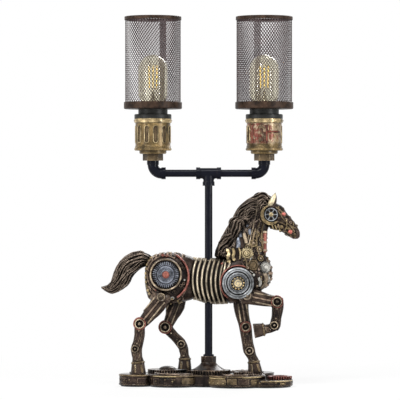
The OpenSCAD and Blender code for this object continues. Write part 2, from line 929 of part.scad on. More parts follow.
module fore_mass() {
    skin(concat(
        [trunk_ring(front_x, rib_cut)],
        [for (x = [26, 34, 42, 50, 58, 66, 74, 81, 87, 91.5, 95]) trunk_ring(x, 0)]
    ));
    shoulder_post();
}

// Round seat across the trunk for the two shoulder discs
module shoulder_post() {
    translate([shoulder[0], 0, shoulder[1]])
        rotate([90, 0, 0])
            cylinder(r = disc_r - 0.6, h = 2 * shoulder_seat, center = true);
}

module neck_mass() {
    loft(neck_line, 2, 24, 2.2);
}

module head_mass() {
    loft(head_line, 2, 24, 2.4);
}

module horse_hindquarters() {
    color("#4a3b28")
        on_base()
            hind_mass();
}

module horse_barrel() {
    steps = 6 * ribs;
    pitch = (front_x - rear_x) / steps;
    color("#4a3b28")
        difference() {
            on_base()
                skin([
                    for (i = [0 : steps])
                        trunk_ring(rear_x + i * pitch, rib_cut * (1 - pow(abs(sin(i * 30)), 0.8)))
                ]);
            on_base()
                shoulder_post();
            translate([0, 0, base_top])
                cylinder(r = stem_r + seat, h = horse_h);
        }
}

// Ornaments seated on flats of the neck and chest: x, y, z, radius
neck_seats = [[57, 17, 180.5, 7.5], [66.3, 20.5, 163.2, 8.6]];
chest_seat = [83.6, 15.2, 159.4, 8.4];
pipe_seat = [84, 8, 182, 3.2];
pipe_len = 31;

module chest_place() {
    translate([chest_seat[0], -chest_seat[1], chest_seat[2]])
        rotate([90, 0, 35])
            children();
}

module seats() {
    both_flanks() {
        for (q = neck_seats)
            on_flank(q[0], q[1], q[2])
                cylinder(r = q[3] + 0.4, h = 20);
        chest_place()
            cylinder(r = chest_seat[3] + 0.4, h = 20);
        translate([pipe_seat[0], -pipe_seat[1], pipe_seat[2]])
            cylinder(r = pipe_seat[3] + seat, h = pipe_len);
    }
}

module horse_forequarters() {
    color("#4a3b28")
        on_base()
            difference() {
                fore_mass();
                seats();
            }
}

module horse_neck() {
    color("#4a3b28")
        on_base()
            difference() {
                neck_mass();
                fore_mass();
                seats();
            }
}

module horse_head() {
    color("#4a3b28")
        on_base()
            difference() {
                union() {
                    head_mass();
                    for (s = [-1, 1])
                        loft([
                            [92, 247, 4.2, 2.4], [96, 256.5, 5.8, 2.6], [98.5, 263.5, 4.2, 2], [100, 271, 0.8, 0.6]
                        ], 2, 12, 2, s * 6.5);
                }
                neck_mass();
                both_flanks()
                    on_flank(93.5, 11.2, 238.5)
                        cylinder(r = eye_wheel_r + 0.4, h = 20);
            }
}

module horse_mane() {
    color("#3a2e20")
        difference() {
            on_base()
                difference() {
                    loft([
                        [93, 261, 4.5, 5], [80.5, 260.5, 8.5, 8], [65.5, 252.5, 10.5, 12],
                        [54.3, 240.5, 11.5, 13.5],
                        [45.3, 225.5, 11, 14.5], [34.8, 210.5, 10, 15.5], [24.3, 195.5, 8.5, 14],
                        [15.5, 181.5, 6.5, 9], [11, 174.5, 2.5, 4]
                    ], 2, 20, 2.2);
                    neck_mass();
                    head_mass();
                    fore_mass();
                }
            horse_barrel();
        }
}

module horse_tail() {
    color("#3a2e20")
        on_base()
            difference() {
                loft([
                    [-84, 168, 6, 6], [-101, 172, 12, 8], [-116.5, 164.5, 14, 9], [-126.5, 152, 14, 9],
                    [-133.5, 138, 12.5, 8], [-143, 128.5, 9, 6.5], [-153.5, 127.5, 5, 4.5],
                    [-161, 129.5, 1, 1]
                ], 2, 18, 2);
                hind_mass();
            }
}

leg_e = 3.2;

// Pivot pins: x, z, side of the horse, half depth of the leg, radius of the head
pivots = [
    [-103.2, 75.5, -1, 7.6, 7.5], [-110, 38, -1, 6.8, 5.4],
    [-65.5, 69, 1, 7.6, 8], [-41.4, 43.5, 1, 6.8, 6],
    [102.2, 108.4, -1, 7.6, 7.4], [97.8, 73.2, -1, 6.8, 6.2],
    [55.8, 69.4, 1, 7.6, 6.6], [61.3, 33.4, 1, 6.8, 6.2]
];

module pivot_bores() {
    for (q = pivots)
        translate([q[0], q[2] * leg_off, q[1]])
            rotate([90, 0, 0])
                cylinder(r = q[4] * 0.5, h = 30, center = true, $fn = 32);
}

module below_hooves(h) {
    translate([-200, -100, h - 60])
        cube([400, 200, 60]);
}

module near_hind_leg() {
    color("#4a3b28")
        on_base()
            difference() {
                union() {
                    loft([
                        [-68, 122, 14, 10], [-77, 102, 12.5, 10], [-87.5, 89.7, 10.5, 9],
                        [-96.5, 79, 8.8, 7.5],
                        [-105.5, 71, 6.8, 7]
                    ], 2, 14, leg_e, -leg_off);
                    loft([
                        [-102.5, 80, 6.6, 6.2], [-103.1, 68, 8.1, 6.5], [-103.2, 58, 8.1, 6.2],
                        [-105.5, 46, 8, 6.2], [-108, 37, 8.8, 6.2], [-106.4, 24.5, 7.7, 6.2],
                        [-105.5, 17.5, 9.6, 8.5],
                        [-105, -1, 11.8, 10.5]
                    ], 2, 14, leg_e, -leg_off);
                }
                hind_mass();
                pivot_bores();
                below_hooves(0);
            }
}

module far_hind_leg() {
    color("#4a3b28")
        on_base()
            difference() {
                union() {
                    loft([
                        [-47, 122, 15, 10], [-50.5, 100, 14.8, 10], [-55.5, 85, 10, 8.5],
                        [-61, 73, 8.2, 7.5],
                        [-66, 62.5, 6.2, 7]
                    ], 2, 14, leg_e, leg_off);
                    loft([
                        [-68.5, 73.5, 6.4, 6.2], [-61.2, 65.5, 8, 6.5], [-51.3, 55, 7.1, 6.2],
                        [-42.2, 45.5, 8, 6.2],
                        [-37.2, 35.5, 7.1, 6.2], [-36.2, 27, 6.6, 6.2], [-35.8, 20.5, 8.8, 8.5],
                        [-36, far_step - 1, 10.6, 10]
                    ], 2, 14, leg_e, leg_off);
                }
                hind_mass();
                pivot_bores();
                below_hooves(far_step);
            }
}

module near_fore_leg() {
    color("#4a3b28")
        on_base()
            difference() {
                union() {
                    loft([
                        [50, 118.5, 13, 11], [66, 115.5, 12.3, 9.5], [82, 111.7, 10.5, 8.5],
                        [94, 109.5, 9, 7.5],
                        [105.5, 108, 7.6, 7]
                    ], 2, 14, leg_e, -leg_off);
                    loft([
                        [105, 115, 6.4, 5.8], [103.8, 105, 8.8, 6.5], [102.8, 95, 8.6, 6.2],
                        [101.3, 84.4, 7.6, 6.2],
                        [99.4, 73, 8.4, 6.2], [98.2, 65.8, 5.6, 5.6]
                    ], 2, 14, leg_e, -leg_off);
                    loft([
                        [102, 70.6, 5, 5.8], [92.5, 68.4, 6.8, 5.9], [85.8, 67.3, 7, 6.2],
                        [81.5, 66.7, 9.5, 8.5],
                        [67.5, 64.5, 11.2, 10.5]
                    ], 2, 14, leg_e, -leg_off);
                }
                fore_mass();
                pivot_bores();
            }
}

module far_fore_leg() {
    color("#4a3b28")
        on_base()
            difference() {
                loft([
                    [48.5, 118, 13, 11], [48.8, 101, 11.6, 9.5], [50.5, 89, 10.6, 8.5],
                    [53.4, 77, 9.5, 7.5],
                    [55.6, 68, 9.7, 6.8], [57, 57.4, 9.1, 6.2], [58.9, 44, 8.7, 6.2],
                    [61.3, 33.4, 9.2, 6.2],
                    [65.5, 24, 7, 6.2], [68, 16.5, 8.8, 8.5], [70.3, -1, 11.6, 10.5]
                ], 2, 14, leg_e, leg_off);
                fore_mass();
                pivot_bores();
                below_hooves(0);
            }
}

module leg_pivots() {
    color("#8f6b35")
        on_base()
            for (q = pivots)
                translate([q[0], q[2] * leg_off, q[1]])
                    rotate([90, 0, 0])
                        rotate_extrude($fn = 32)
                            let (r = q[4], h = q[3])
                            polygon([
                                [0, -h - 1.8], [r * 0.32, -h - 1.5], [r * 0.4, -h - 0.7],
                                [r * 0.66, -h - 0.7],
                                [r * 0.74, -h - 1.6], [r * 0.94, -h - 1.6], [r, -h - 1], [r, -h],
                                [r * 0.5 - seat, -h], [r * 0.5 - seat, h], [r, h], [r, h + 1],
                                [r * 0.94, h + 1.6], [r * 0.74, h + 1.6], [r * 0.66, h + 0.7],
                                [r * 0.4, h + 0.7],
                                [r * 0.32, h + 1.5], [0, h + 1.8]
                            ]);
}

module hip_rings() {
    color("#9a7a3c")
        on_base()
            both_flanks()
                on_flank(hip[0], hip_seat, hip[1])
                    rotate_extrude()
                        polygon([
                            [hip_ring_r - 3.6, 0], [hip_ring_r, 0], [hip_ring_r, 1.6],
                            [hip_ring_r - 1, 2.8],
                            [hip_ring_r - 2.6, 2.8], [hip_ring_r - 3.6, 1.8]
                        ]);
}

module hip_gears() {
    color("#5d6a74")
        on_base()
            both_flanks()
                on_flank(hip[0], hip_seat, hip[1])
                    rotate([0, 0, 4]) {
                        linear_extrude(2)
                            gear_outline(hip_wheel_r, hip_teeth, 2);
                        translate([0, 0, 2])
                            rotate_extrude()
                                polygon([
                                    [0, 0], [13.5, 0], [12.5, 1], [11, 1], [10.4, 0.4],
                                    [7.6, 0.4], [7, 1.2],
                                    [5.4, 1.2], [4.6, 2.4], [3, 3.1], [0, 3.4]
                                ]);
                    }
}

module shoulder_discs() {
    r = disc_r;
    color("#a9adb0")
        on_base()
            both_flanks()
                on_flank(shoulder[0], shoulder_seat, shoulder[1])
                    difference() {
                        union() {
                            rotate_extrude()
                                polygon([
                                    [0, 0], [r, 0], [r, 1.4], [r - 1.2, 2.4], [r - 4.6, 2.4],
                                    [r - 5.4, 1.5],
                                    [r - 7, 1.5], [r - 8, 2.8], [9.6, 3.4], [0, 3.4]
                                ]);
                            translate([0, 0, 3.4])
                                linear_extrude(1.2)
                                    gear_outline(8.4, 10, 2);
                            translate([0, 0, 4.6])
                                rotate_extrude()
                                    polygon([[0, 0], [5, 0], [4.6, 1.2], [3, 2.3], [0, 2.8]]);
                        }
                        translate([0, 0, -cut])
                            cylinder(r = 2, h = 4, $fn = 24);
                    }
}

// Tube lying on the trunk along an arc about c
module trunk_arc(c, r, from, to, t) {
    tube([
        for (i = [0 : 22])
            let (a = from + (to - from) * i / 22, x = c[0] + r * cos(a), z = c[1] + r * sin(a))
            [x, -trunk_side(x, z) - t - 0.5, z]
    ], t, 8);
}

module copper_pipes() {
    color("#8a4a32")
        on_base() {
            trunk_arc(strap_mid, strap_reach, -58, 60, strap_half);
            mirror([0, 1, 0])
                trunk_arc(strap_mid, strap_reach, -20, 60, strap_half);
            both_flanks() {
                trunk_arc(shoulder, disc_r + 3.4, 65, 235, strap_half * 0.75);
                translate([pipe_seat[0], -pipe_seat[1], pipe_seat[2]])
                    rotate_extrude($fn = 32)
                        let (r = pipe_seat[3], h = pipe_len)
                        polygon([
                            [0, 0], [r, 0], [r, h * 0.46], [r - 0.5, h * 0.48], [r - 0.5, h * 0.52],
                            [r, h * 0.54], [r, h], [0, h]
                        ]);
            }
        }
}

module neck_gears() {
    color("#9a7a3c")
        on_base()
            both_flanks() {
                on_flank(neck_seats[0][0], neck_seats[0][1], neck_seats[0][2]) {
                    linear_extrude(2.4)
                        gear_outline(neck_seats[0][3], 16, 1.3);
                    translate([0, 0, 2.4])
                        cylinder(r1 = 4, r2 = 3, h = 1.4);
                }
                on_flank(neck_seats[1][0], neck_seats[1][1], neck_seats[1][2]) {
                    cylinder(r = neck_seats[1][3], h = 2, $fn = 6);
                    translate([0, 0, 2])
                        cylinder(r1 = 4.6, r2 = 3.2, h = 1.6);
                }
                chest_place() {
                    linear_extrude(2.2)
                        gear_outline(chest_seat[3], 18, 1.4);
                    translate([0, 0, 2.2])
                        cylinder(r1 = 4, r2 = 2.6, h = 1.6);
                }
            }
}

module eye_wheels() {
    color("#7c8288")
        on_base()
            both_flanks()
                on_flank(93.5, 11.2, 238.5) {
                    linear_extrude(2.6)
                        difference() {
                            circle(r = eye_wheel_r);
                            for (i = [0 : 5])
                                rotate(i * 60)
                                    translate([eye_wheel_r * 0.62, 0])
                                        circle(r = eye_wheel_r * 0.2, $fn = 24);
                        }
                    translate([0, 0, 2.6])
                        cylinder(r1 = 3.4, r2 = 2.6, h = 1.2);
                }
}

base_pad();
base_casting();
base_rivets();
base_gears();
copper_gear();
flange_gear();
flange_cone();
flange_nut();
lock_ring();
stem_pipe();
stem_washer();
stem_lock_nut();
cord_bushing();
splice_caps();
tee();
arm_pipes();
elbows();
socket_nipples();
socket_nuts();
step_washers();
cups();
cup_pipes();
rivet_bands();
lampholders();
screw_shells();
centre_contacts();
lamp_wires();
left_shade_ring();
left_shade_pan();
left_shade_mesh();
left_shade_rim();
left_bulb_cap();
left_bulb_glass();
left_filament();
right_shade_ring();
right_shade_pan();
right_shade_mesh();
right_shade_rim();
right_bulb_cap();
right_bulb_glass();
right_filament();
horse_hindquarters();
horse_barrel();
horse_forequarters();
horse_neck();
horse_head();
horse_mane();
horse_tail();
near_hind_leg();
far_hind_leg();
near_fore_leg();
far_fore_leg();
leg_pivots();
hip_rings();
hip_gears();
shoulder_discs();
copper_pipes();
neck_gears();
eye_wheels();
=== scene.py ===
import math
import random

import bmesh
import bpy
from mathutils import Matrix, Vector
from mathutils.bvhtree import BVHTree


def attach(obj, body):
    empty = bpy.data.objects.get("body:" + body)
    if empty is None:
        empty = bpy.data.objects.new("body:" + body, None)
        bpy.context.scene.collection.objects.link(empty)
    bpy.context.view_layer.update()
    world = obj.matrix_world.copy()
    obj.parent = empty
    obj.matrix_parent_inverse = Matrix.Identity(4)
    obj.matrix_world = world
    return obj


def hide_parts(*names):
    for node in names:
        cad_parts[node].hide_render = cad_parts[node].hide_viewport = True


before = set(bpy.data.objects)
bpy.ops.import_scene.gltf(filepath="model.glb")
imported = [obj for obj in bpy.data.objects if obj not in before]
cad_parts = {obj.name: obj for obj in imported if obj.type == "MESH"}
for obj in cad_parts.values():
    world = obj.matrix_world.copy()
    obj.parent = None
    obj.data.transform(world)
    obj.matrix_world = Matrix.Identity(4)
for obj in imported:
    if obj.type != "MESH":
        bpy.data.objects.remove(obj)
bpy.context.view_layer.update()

# The stand for the picture: a level camera about four metres off on the horse's near side, a pale
# floor under the pad, a white surround, and light from three panels and two tall strips.
mm = 0.001
scene = bpy.context.scene
scene.view_settings.view_transform = "Standard"


def stood(name, data, place=(0, 0, 0)):
    """A new object in the scene, at a place in metres."""
    obj = bpy.data.objects.new(name, data)
    obj.location = place
    scene.collection.objects.link(obj)
    return obj


def finish(name, **values):
    """A new material with its shader's own sockets set."""
    material = bpy.data.materials.new(name)
    material.use_nodes = True
    shader = material.node_tree.nodes["Principled BSDF"]
    for socket, value in values.items():
        shader.inputs[socket.replace("_", " ")].default_value = value
    return material


def place_node(tree, kind, settings=(), **inputs):
    """One node with its settings, and its inputs linked or set; i0, i1 name inputs by number."""
    node = tree.nodes.new("ShaderNode" + kind)
    for key, value in dict(settings).items():
        setattr(node, key, value)
    for key, value in inputs.items():
        socket = node.inputs[int(key[1:])] if key[1:].isdigit() else node.inputs[key.replace("_", " ")]
        if isinstance(value, bpy.types.NodeSocket):
            tree.links.new(value, socket)
        else:
            socket.default_value = value
    return node


def reckon(tree, operation, *values, **settings):
    """What a maths node makes of its values."""
    inputs = {"i%d" % number: value for number, value in enumerate(values)}
    return place_node(tree, "Math", {"operation": operation, **settings}, **inputs).outputs[0]


def times(tree, value, *others):
    """A product."""
    for other in others:
        value = reckon(tree, "MULTIPLY", value, other)
    return value


def most(tree, value, *others):
    """The greatest of its values."""
    for other in others:
        value = reckon(tree, "MAXIMUM", value, other)
    return value


def spread(tree, value, low, high, to_low=0, to_high=1):
    """A value between low and high, mapped onto another range."""
    return place_node(tree, "MapRange", Value=value, From_Min=low, From_Max=high, To_Min=to_low,
                      To_Max=to_high).outputs[0]


def spot_in(tree):
    """Where a point lies on its piece."""
    return place_node(tree, "TexCoord").outputs["Object"]


def seen_white(tree):
    """1 where the camera, a mirror or a clear body looks, 0 where light is gathered."""
    path = place_node(tree, "LightPath").outputs
    return most(tree, path["Is Camera Ray"], path["Is Glossy Ray"], path["Is Transmission Ray"])


def lead_out(tree, end, share, one, other):
    """Shows one shader, and by share the other."""
    blend = place_node(tree, "MixShader", i0=share, i1=one.outputs[0], i2=other.outputs[0])
    tree.links.new(blend.outputs[0], tree.nodes[end].inputs["Surface"])


eye_distance, eye_height, picture_middle, picture_width, film_width = 4200, 278.7, -12.9, 600, 36
near_view = bpy.data.cameras.new("near_side_view")
near_view.sensor_width = film_width
near_view.lens = film_width * eye_distance / picture_width
camera = stood("near_side_camera", near_view, (picture_middle * mm, -eye_distance * mm, eye_height * mm))
camera.rotation_euler = (math.pi / 2, 0, 0)
scene.camera = camera

surround = bpy.data.worlds.new("white_surround")
surround.use_nodes = True
sky = surround.node_tree
lit = sky.nodes["Background"]
lit.inputs["Color"].default_value = (1, 1, 1, 1)
lit.inputs["Strength"].default_value = 0.11
plain = place_node(sky, "Background", Color=(1, 1, 1, 1), Strength=1)
lead_out(sky, "World Output", seen_white(sky), lit, plain)
scene.world = surround

floor_mesh = bpy.data.meshes.new("floor")
floor_mesh.from_pydata([(-3, -3, 0), (3, -3, 0), (3, 3, 0), (-3, 3, 0)], [], [(0, 1, 2, 3)])
pale = finish("pale_floor", Base_Color=(0.86, 0.86, 0.86, 1), Roughness=0.9)
tree = pale.node_tree
reach = place_node(tree, "VectorMath", {"operation": "LENGTH"}, i0=spot_in(tree)).outputs["Value"]
share = times(tree, seen_white(tree), spread(tree, reach, 0.12, 0.75, 0.82, 1))
lead_out(tree, "Material Output", share, tree.nodes["Principled BSDF"], place_node(tree, "Emission"))
floor_mesh.materials.append(pale)
stood("floor", floor_mesh, (0, 0, -0.0003))

for name, place, wide, tall, power in (
    ("key_panel", (-1.0, -1.6, 1.9), 0.7, 0.7, 50),
    ("top_panel", (0.1, -1.1, 2.3), 0.6, 0.4, 14),
    ("left_strip", (-1.9, -1.3, 0.35), 0.14, 0.9, 12),
    ("right_strip", (1.7, -1.3, 0.5), 0.2, 0.9, 22),
    ("back_panel", (0.6, 1.8, 1.6), 1.0, 1.0, 26),
):
    panel = bpy.data.lights.new(name, "AREA")
    panel.shape = "RECTANGLE"
    panel.size, panel.size_y = wide, tall
    panel.energy = power
    way = Vector((0, 0, 0.27)) - Vector(place)
    stood(name, panel, place).rotation_euler = way.to_track_quat("-Z", "Y").to_euler()


# The rubber pad under the base: a black moulded sheet, glued into the foot of the casting. Its finish
# is plain mould grain, like that of the cord bushing.
def noise(tree, spot, scale, detail, roughness=0.5, distortion=0):
    """A cloudy pattern."""
    return place_node(tree, "TexNoise", Vector=spot, Scale=scale, Detail=detail, Roughness=roughness,
                      Distortion=distortion).outputs["Fac"]


def mixed(tree, share, one, other, how="MIX"):
    """One colour, and by share the other."""
    return place_node(tree, "MixRGB", {"blend_type": how}, Fac=share, Color1=one, Color2=other).outputs[0]


def effect(name, **inputs):
    """A new node group, what is fed into it, and where a point lies."""
    tree = bpy.data.node_groups.new(name, "ShaderNodeTree")
    for label, value in inputs.items():
        kind = "NodeSocketColor" if isinstance(value, tuple) else "NodeSocketFloat"
        socket = tree.interface.new_socket(label.replace("_", " "), in_out="INPUT", socket_type=kind)
        socket.default_value = value
    return tree, tree.nodes.new("NodeGroupInput").outputs, spot_in(tree)


def gives(tree, **outputs):
    """Names and links what a node group gives."""
    kinds = {"Color": "NodeSocketColor", "Rounded": "NodeSocketVector"}
    for label in outputs:
        tree.interface.new_socket(label, in_out="OUTPUT", socket_type=kinds.get(label, "NodeSocketFloat"))
    end = tree.nodes.new("NodeGroupOutput")
    for label, value in outputs.items():
        tree.links.new(value, end.inputs[label])


def use_effect(material, group, bump=0.2, **values):
    """Places an effect in a material and feeds its colour, roughness and relief to the shader."""
    tree = material.node_tree
    made = place_node(tree, "Group", {"node_tree": group}, **values).outputs
    relief = place_node(tree, "Bump", Strength=bump, Distance=0.0004, Height=made["Height"])
    if "Rounded" in made:
        tree.links.new(made["Rounded"], relief.inputs["Normal"])
    shader = tree.nodes["Principled BSDF"].inputs
    tree.links.new(made["Color"], shader["Base Color"])
    tree.links.new(made["Roughness"], shader["Roughness"])
    tree.links.new(relief.outputs[0], shader["Normal"])
    return material


def dress(material, *nodes):
    """Gives CAD nodes a finish."""
    for name in nodes:
        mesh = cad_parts[name].data
        mesh.materials.clear()
        mesh.materials.append(material)


mould_grain, fed, spot = effect("mould_grain", Low_Color=(0.01, 0.01, 0.01, 1),
                                High_Color=(0.03, 0.03, 0.03, 1), Scale=600)
fine = noise(mould_grain, spot, fed["Scale"], 3)
tone = mixed(mould_grain, noise(mould_grain, spot, 60, 2), fed["Low Color"], fed["High Color"])
gives(mould_grain, Color=tone, Roughness=spread(mould_grain, fine, 0, 1, 0.5, 0.8), Height=fine)

pad_rubber = use_effect(finish("pad_rubber"), mould_grain)
dress(pad_rubber, "base_pad", "cord_bushing")


# The base: a cold-cast resin foot of overlapping round lobes, painted dark bronze and rubbed with gold.
# Thin cast plates with rivets run round its edge, and small parts lie on its top.
def shape():
    """Corners and faces of a piece that is being made, in millimetres."""
    return [], []


def loft(made, rows, ring=False):
    """Joins rows of points into a closed skin; a ring joins its last row to its first."""
    m, n, first = len(rows), len(rows[0]), len(made[0])
    faces = [] if ring else [range(n)[::-1], range((m - 1) * n, m * n)]
    for i in range(m if ring else m - 1):
        j = (i + 1) % m
        for k in range(n):
            after = (k + 1) % n
            faces.append((i * n + k, i * n + after, j * n + after, j * n + k))
    made[0].extend(Vector(p) for row in rows for p in row)
    made[1].extend([first + c for c in face] for face in faces)


def piece(name, made, material, body="lamp", replaced=()):
    """Turns a shape into an object that rides on its body, with its sharp edges kept."""
    sharp = 0.7
    mesh = bpy.data.meshes.new(name)
    mesh.from_pydata([c * mm for c in made[0]], [], made[1])
    skin = bmesh.new()
    skin.from_mesh(mesh)
    bmesh.ops.recalc_face_normals(skin, faces=skin.faces)
    for face in skin.faces:
        face.smooth = True
    for edge in skin.edges:
        if len(edge.link_faces) == 2 and edge.calc_face_angle(0) > sharp:
            edge.smooth = False
    skin.to_mesh(mesh)
    skin.free()
    mesh.materials.append(material)
    obj = stood(name, mesh)
    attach(obj, body)
    if replaced:
        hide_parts(*replaced)


def facing(point, way):
    """A place at a point, its Z along a way."""
    return Matrix.Translation(point) @ Vector(way).to_track_quat("Z", "Y").to_matrix().to_4x4()


def above(place, height):
    """A place moved along its own Z."""
    return place @ Matrix.Translation((0, 0, height))


def circle(r, sides=8, start=0):
    """Points of x, y round a circle, from an angle in radians."""
    angles = [start + 2 * math.pi * k / sides for k in range(sides)]
    return [(r * math.cos(a), r * math.sin(a)) for a in angles]


def spun(made, profile, place, sides=24):
    """A profile of (radius, height) turned about the local Z of place."""
    loft(made, [[place @ Vector((x, y, h)) for x, y in circle(r, sides)] for r, h in profile])


def dome(made, place, r, h, foot=0.6):
    """A rivet head or boss with a low foot."""
    spun(made, [(r, -foot), (r, 0.15 * h), (0.93 * r, 0.5 * h), (0.74 * r, 0.8 * h), (0.4 * r, 0.96 * h),
                (0.05 * r, h)], place, 16)


def toothed(made, place, r, teeth, depth, thick):
    """A flat gear: square teeth with sloped flanks, and a sunk web inside its rim."""
    edge = []
    for k in range(teeth):
        for share, cut in ((0.0, 0), (0.38, 0), (0.5, depth), (0.88, depth)):
            a = 2 * math.pi * (k + share) / teeth
            edge.append(((r - cut) * math.cos(a), (r - cut) * math.sin(a)))
    rows = [(edge, 0), (edge, thick)]
    for share, h in ((0.78, thick), (0.72, 0.6 * thick), (0.3, 0.6 * thick), (0.24, thick)):
        rows.append((circle(r * share, len(edge)), h))
    loft(made, [[place @ Vector((x, y, h)) for x, y in row] for row, h in rows])


def flow(points, count):
    """A smooth line of count points through the given ones."""
    pts = [Vector(p) for p in points]
    pts = [2 * pts[0] - pts[1]] + pts + [2 * pts[-1] - pts[-2]]
    line = []
    for i in range(count):
        t = (len(pts) - 3) * i / (count - 1)
        k = min(int(t), len(pts) - 4)
        u = t - k
        a, b, c, d = pts[k:k + 4]
        line.append(0.5 * (2 * b + (c - a) * u + (2 * a - 5 * b + 4 * c - d) * u * u
                           + (3 * b - 3 * c + d - a) * u ** 3))
    return line


def sweep(made, path, outline, outward=None, swell=None, closed=False):
    """Carries an outline of (across, out) along a path; outward is one out direction or each point's."""
    m, rows, out = len(path), [], None
    for i, p in enumerate(path):
        before = path[i - 1 if i or closed else 0]
        after = path[(i + 1) % m if closed else min(i + 1, m - 1)]
        along = (after - before).normalized()
        if outward is not None:
            out = outward if isinstance(outward, Vector) else outward[i]
        elif out is None:
            out = Vector((0, 0, 1)) if abs(along.z) < 0.9 else Vector((1, 0, 0))
        out = (out - along * out.dot(along)).normalized()
        across = along.cross(out)
        size = swell[i] if swell else 1
        rows.append([p + across * (a * size) + out * (o * size) for a, o in outline])
    loft(made, rows, closed)


def flat_bar(w, h, sunk=0.6):
    """Section of a strap w wide that stands h proud of what carries it, with eased edges."""
    e = min(0.35 * w, 0.6 * h)
    return [(-w / 2, -sunk), (w / 2, -sunk), (w / 2, h - e), (w / 2 - e, h), (-w / 2 + e, h), (-w / 2, h - e)]


def eased_edge(tree, radius, start):
    """The direction of a surface with its edges rounded off, and a mask of those edges."""
    eased = place_node(tree, "Bevel", {"samples": 4}, Radius=radius).outputs[0]
    flat = place_node(tree, "NewGeometry").outputs["Normal"]
    turn = place_node(tree, "VectorMath", {"operation": "DOT_PRODUCT"}, i0=eased, i1=flat).outputs["Value"]
    return eased, spread(tree, turn, start, 0.86)


aged_metal, fed, spot = effect(
    "aged_metal", Recess_Color=(0.01, 0.01, 0.01, 1), Body_Color=(0.1, 0.07, 0.04, 1),
    Raised_Color=(0.4, 0.3, 0.15, 1), Wear=0.8, Crest=0.3, Open=0.3, Wash=0.14, Scale=160, Gloss=0.4)
tree = aged_metal
patch = noise(tree, spot, fed["Scale"], 4, 0.6)
fine = noise(tree, spot, times(tree, fed["Scale"], 7), 3)
wash = noise(tree, spot, times(tree, fed["Scale"], 0.55), 5, 0.62, 0.8)
# Ambient occlusion darkens recesses, creases and the places under and between parts toward the recess colour:
# partly the dark wash the castings have in their hollows, partly painted shade.
open_sky = place_node(tree, "AmbientOcclusion", {"samples": 6}, Distance=0.009).outputs["AO"]
clear_of_wash_and_shade = spread(tree, open_sky, 0.4, 1)
eased, edge = eased_edge(tree, 0.0009, 0.985)
crown = spread(tree, place_node(tree, "NewGeometry").outputs["Pointiness"], 0.505, 0.57)
bared = times(tree, spread(tree, open_sky, 0.72, 1), fed["Open"])
proud = most(tree, edge, times(tree, crown, fed["Crest"]), bared)
rubbed = times(tree, proud, spread(tree, patch, 0.3, 0.62, 0.25, 1), clear_of_wash_and_shade)
broad = times(tree, spread(tree, patch, 0.52, 0.78, 0, fed["Wash"]), clear_of_wash_and_shade)
worn = reckon(tree, "MULTIPLY", most(tree, rubbed, broad), fed["Wear"], use_clamp=True)
ground = mixed(tree, clear_of_wash_and_shade, fed["Recess Color"], fed["Body Color"])
rich = mixed(tree, worn, ground, fed["Raised Color"])
speck = times(tree, spread(tree, fine, 0.3, 0.7, 0.7, 1.2), spread(tree, wash, 0.36, 0.64, 0.3, 1.6))
dull = reckon(tree, "ADD", spread(tree, fine, 0, 1, -0.1, 0.16), fed["Gloss"])
gives(tree, Color=mixed(tree, 1, rich, speck, "MULTIPLY"),
      Roughness=reckon(tree, "MULTIPLY_ADD", worn, -0.12, dull), Height=fine, Rounded=eased)


def antique(name, recess, body, raised, wear, scale, gloss, metal=0, shine=0.5, crest=0.3, bare=0.3,
            wash=0.14, bump=0.2, coat=0):
    """Painted metal: dark in its recesses, partly its own wash and partly painted shade, and rubbed to its
    raised colour on what stands proud.
    """
    plain = finish(name, Metallic=metal, Specular_IOR_Level=shine, Coat_Weight=coat)
    return use_effect(plain, aged_metal, bump, Recess_Color=(*recess, 1), Body_Color=(*body, 1),
                      Raised_Color=(*raised, 1), Wear=wear, Crest=crest, Open=bare, Wash=wash, Scale=scale,
                      Gloss=gloss)


base_resin = antique("base_resin", (0.003, 0.0025, 0.002), (0.024, 0.0152, 0.0124), (0.6, 0.43, 0.29), 0.85,
                     75, 0.12, shine=0.12, crest=0.0, bare=0.0, wash=0.16, bump=0.06)
plate_bronze = antique("plate_bronze", (0.004, 0.003, 0.002), (0.08, 0.054, 0.029), (0.6, 0.45, 0.26), 0.9,
                       85, 0.18, metal=0.05, shine=0.14, crest=0.1, bare=0.1, bump=0.08)
old_brass = antique("old_brass", (0.008, 0.005, 0.003), (0.22, 0.155, 0.075), (0.85, 0.68, 0.38), 0.9, 100,
                    0.22, metal=0.2, shine=0.2, crest=0.4, bare=0.3)
copper = antique("copper", (0.015, 0.005, 0.004), (0.17, 0.047, 0.035), (0.6, 0.26, 0.2), 0.8, 110, 0.26,
                 metal=0.08, shine=0.15, crest=0.3, bare=0.25)
bronze_resin = antique("bronze_resin", (0.002, 0.0016, 0.0013), (0.019, 0.012, 0.0104), (0.54, 0.39, 0.28),
                       0.9, 120, 0.2, metal=0.05, shine=0.1, crest=0.65, bare=0.08, wash=0.1, bump=0.1)
dress(base_resin, "base_casting")
dress(plate_bronze, "base_rivets")
dress(bronze_resin, "base_gears")
dress(copper, "copper_gear")

lobes = [(-107, -2, 27, 0), (-51, -8, 40, 0), (0, 4, 44, 0), (41, -22, 44, 0), (86, -19, 39, 7),
         (-62, 36, 34, 0), (0, 42, 34, 0), (62, 34, 37, 0)]
base_top, base_low = 18.5, 2


def round_lobe(lobe, start, end, height):
    """Points on a lobe's edge and their outward ways, by degrees from the front toward +X."""
    x, y, r, _ = lobes[lobe]
    count = max(3, int((end - start) / 4))
    ways = [Vector((math.sin(a), -math.cos(a), 0))
            for a in (math.radians(start + (end - start) * k / count) for k in range(count + 1))]
    return [Vector((x, y, height)) + w * r for w in ways], ways


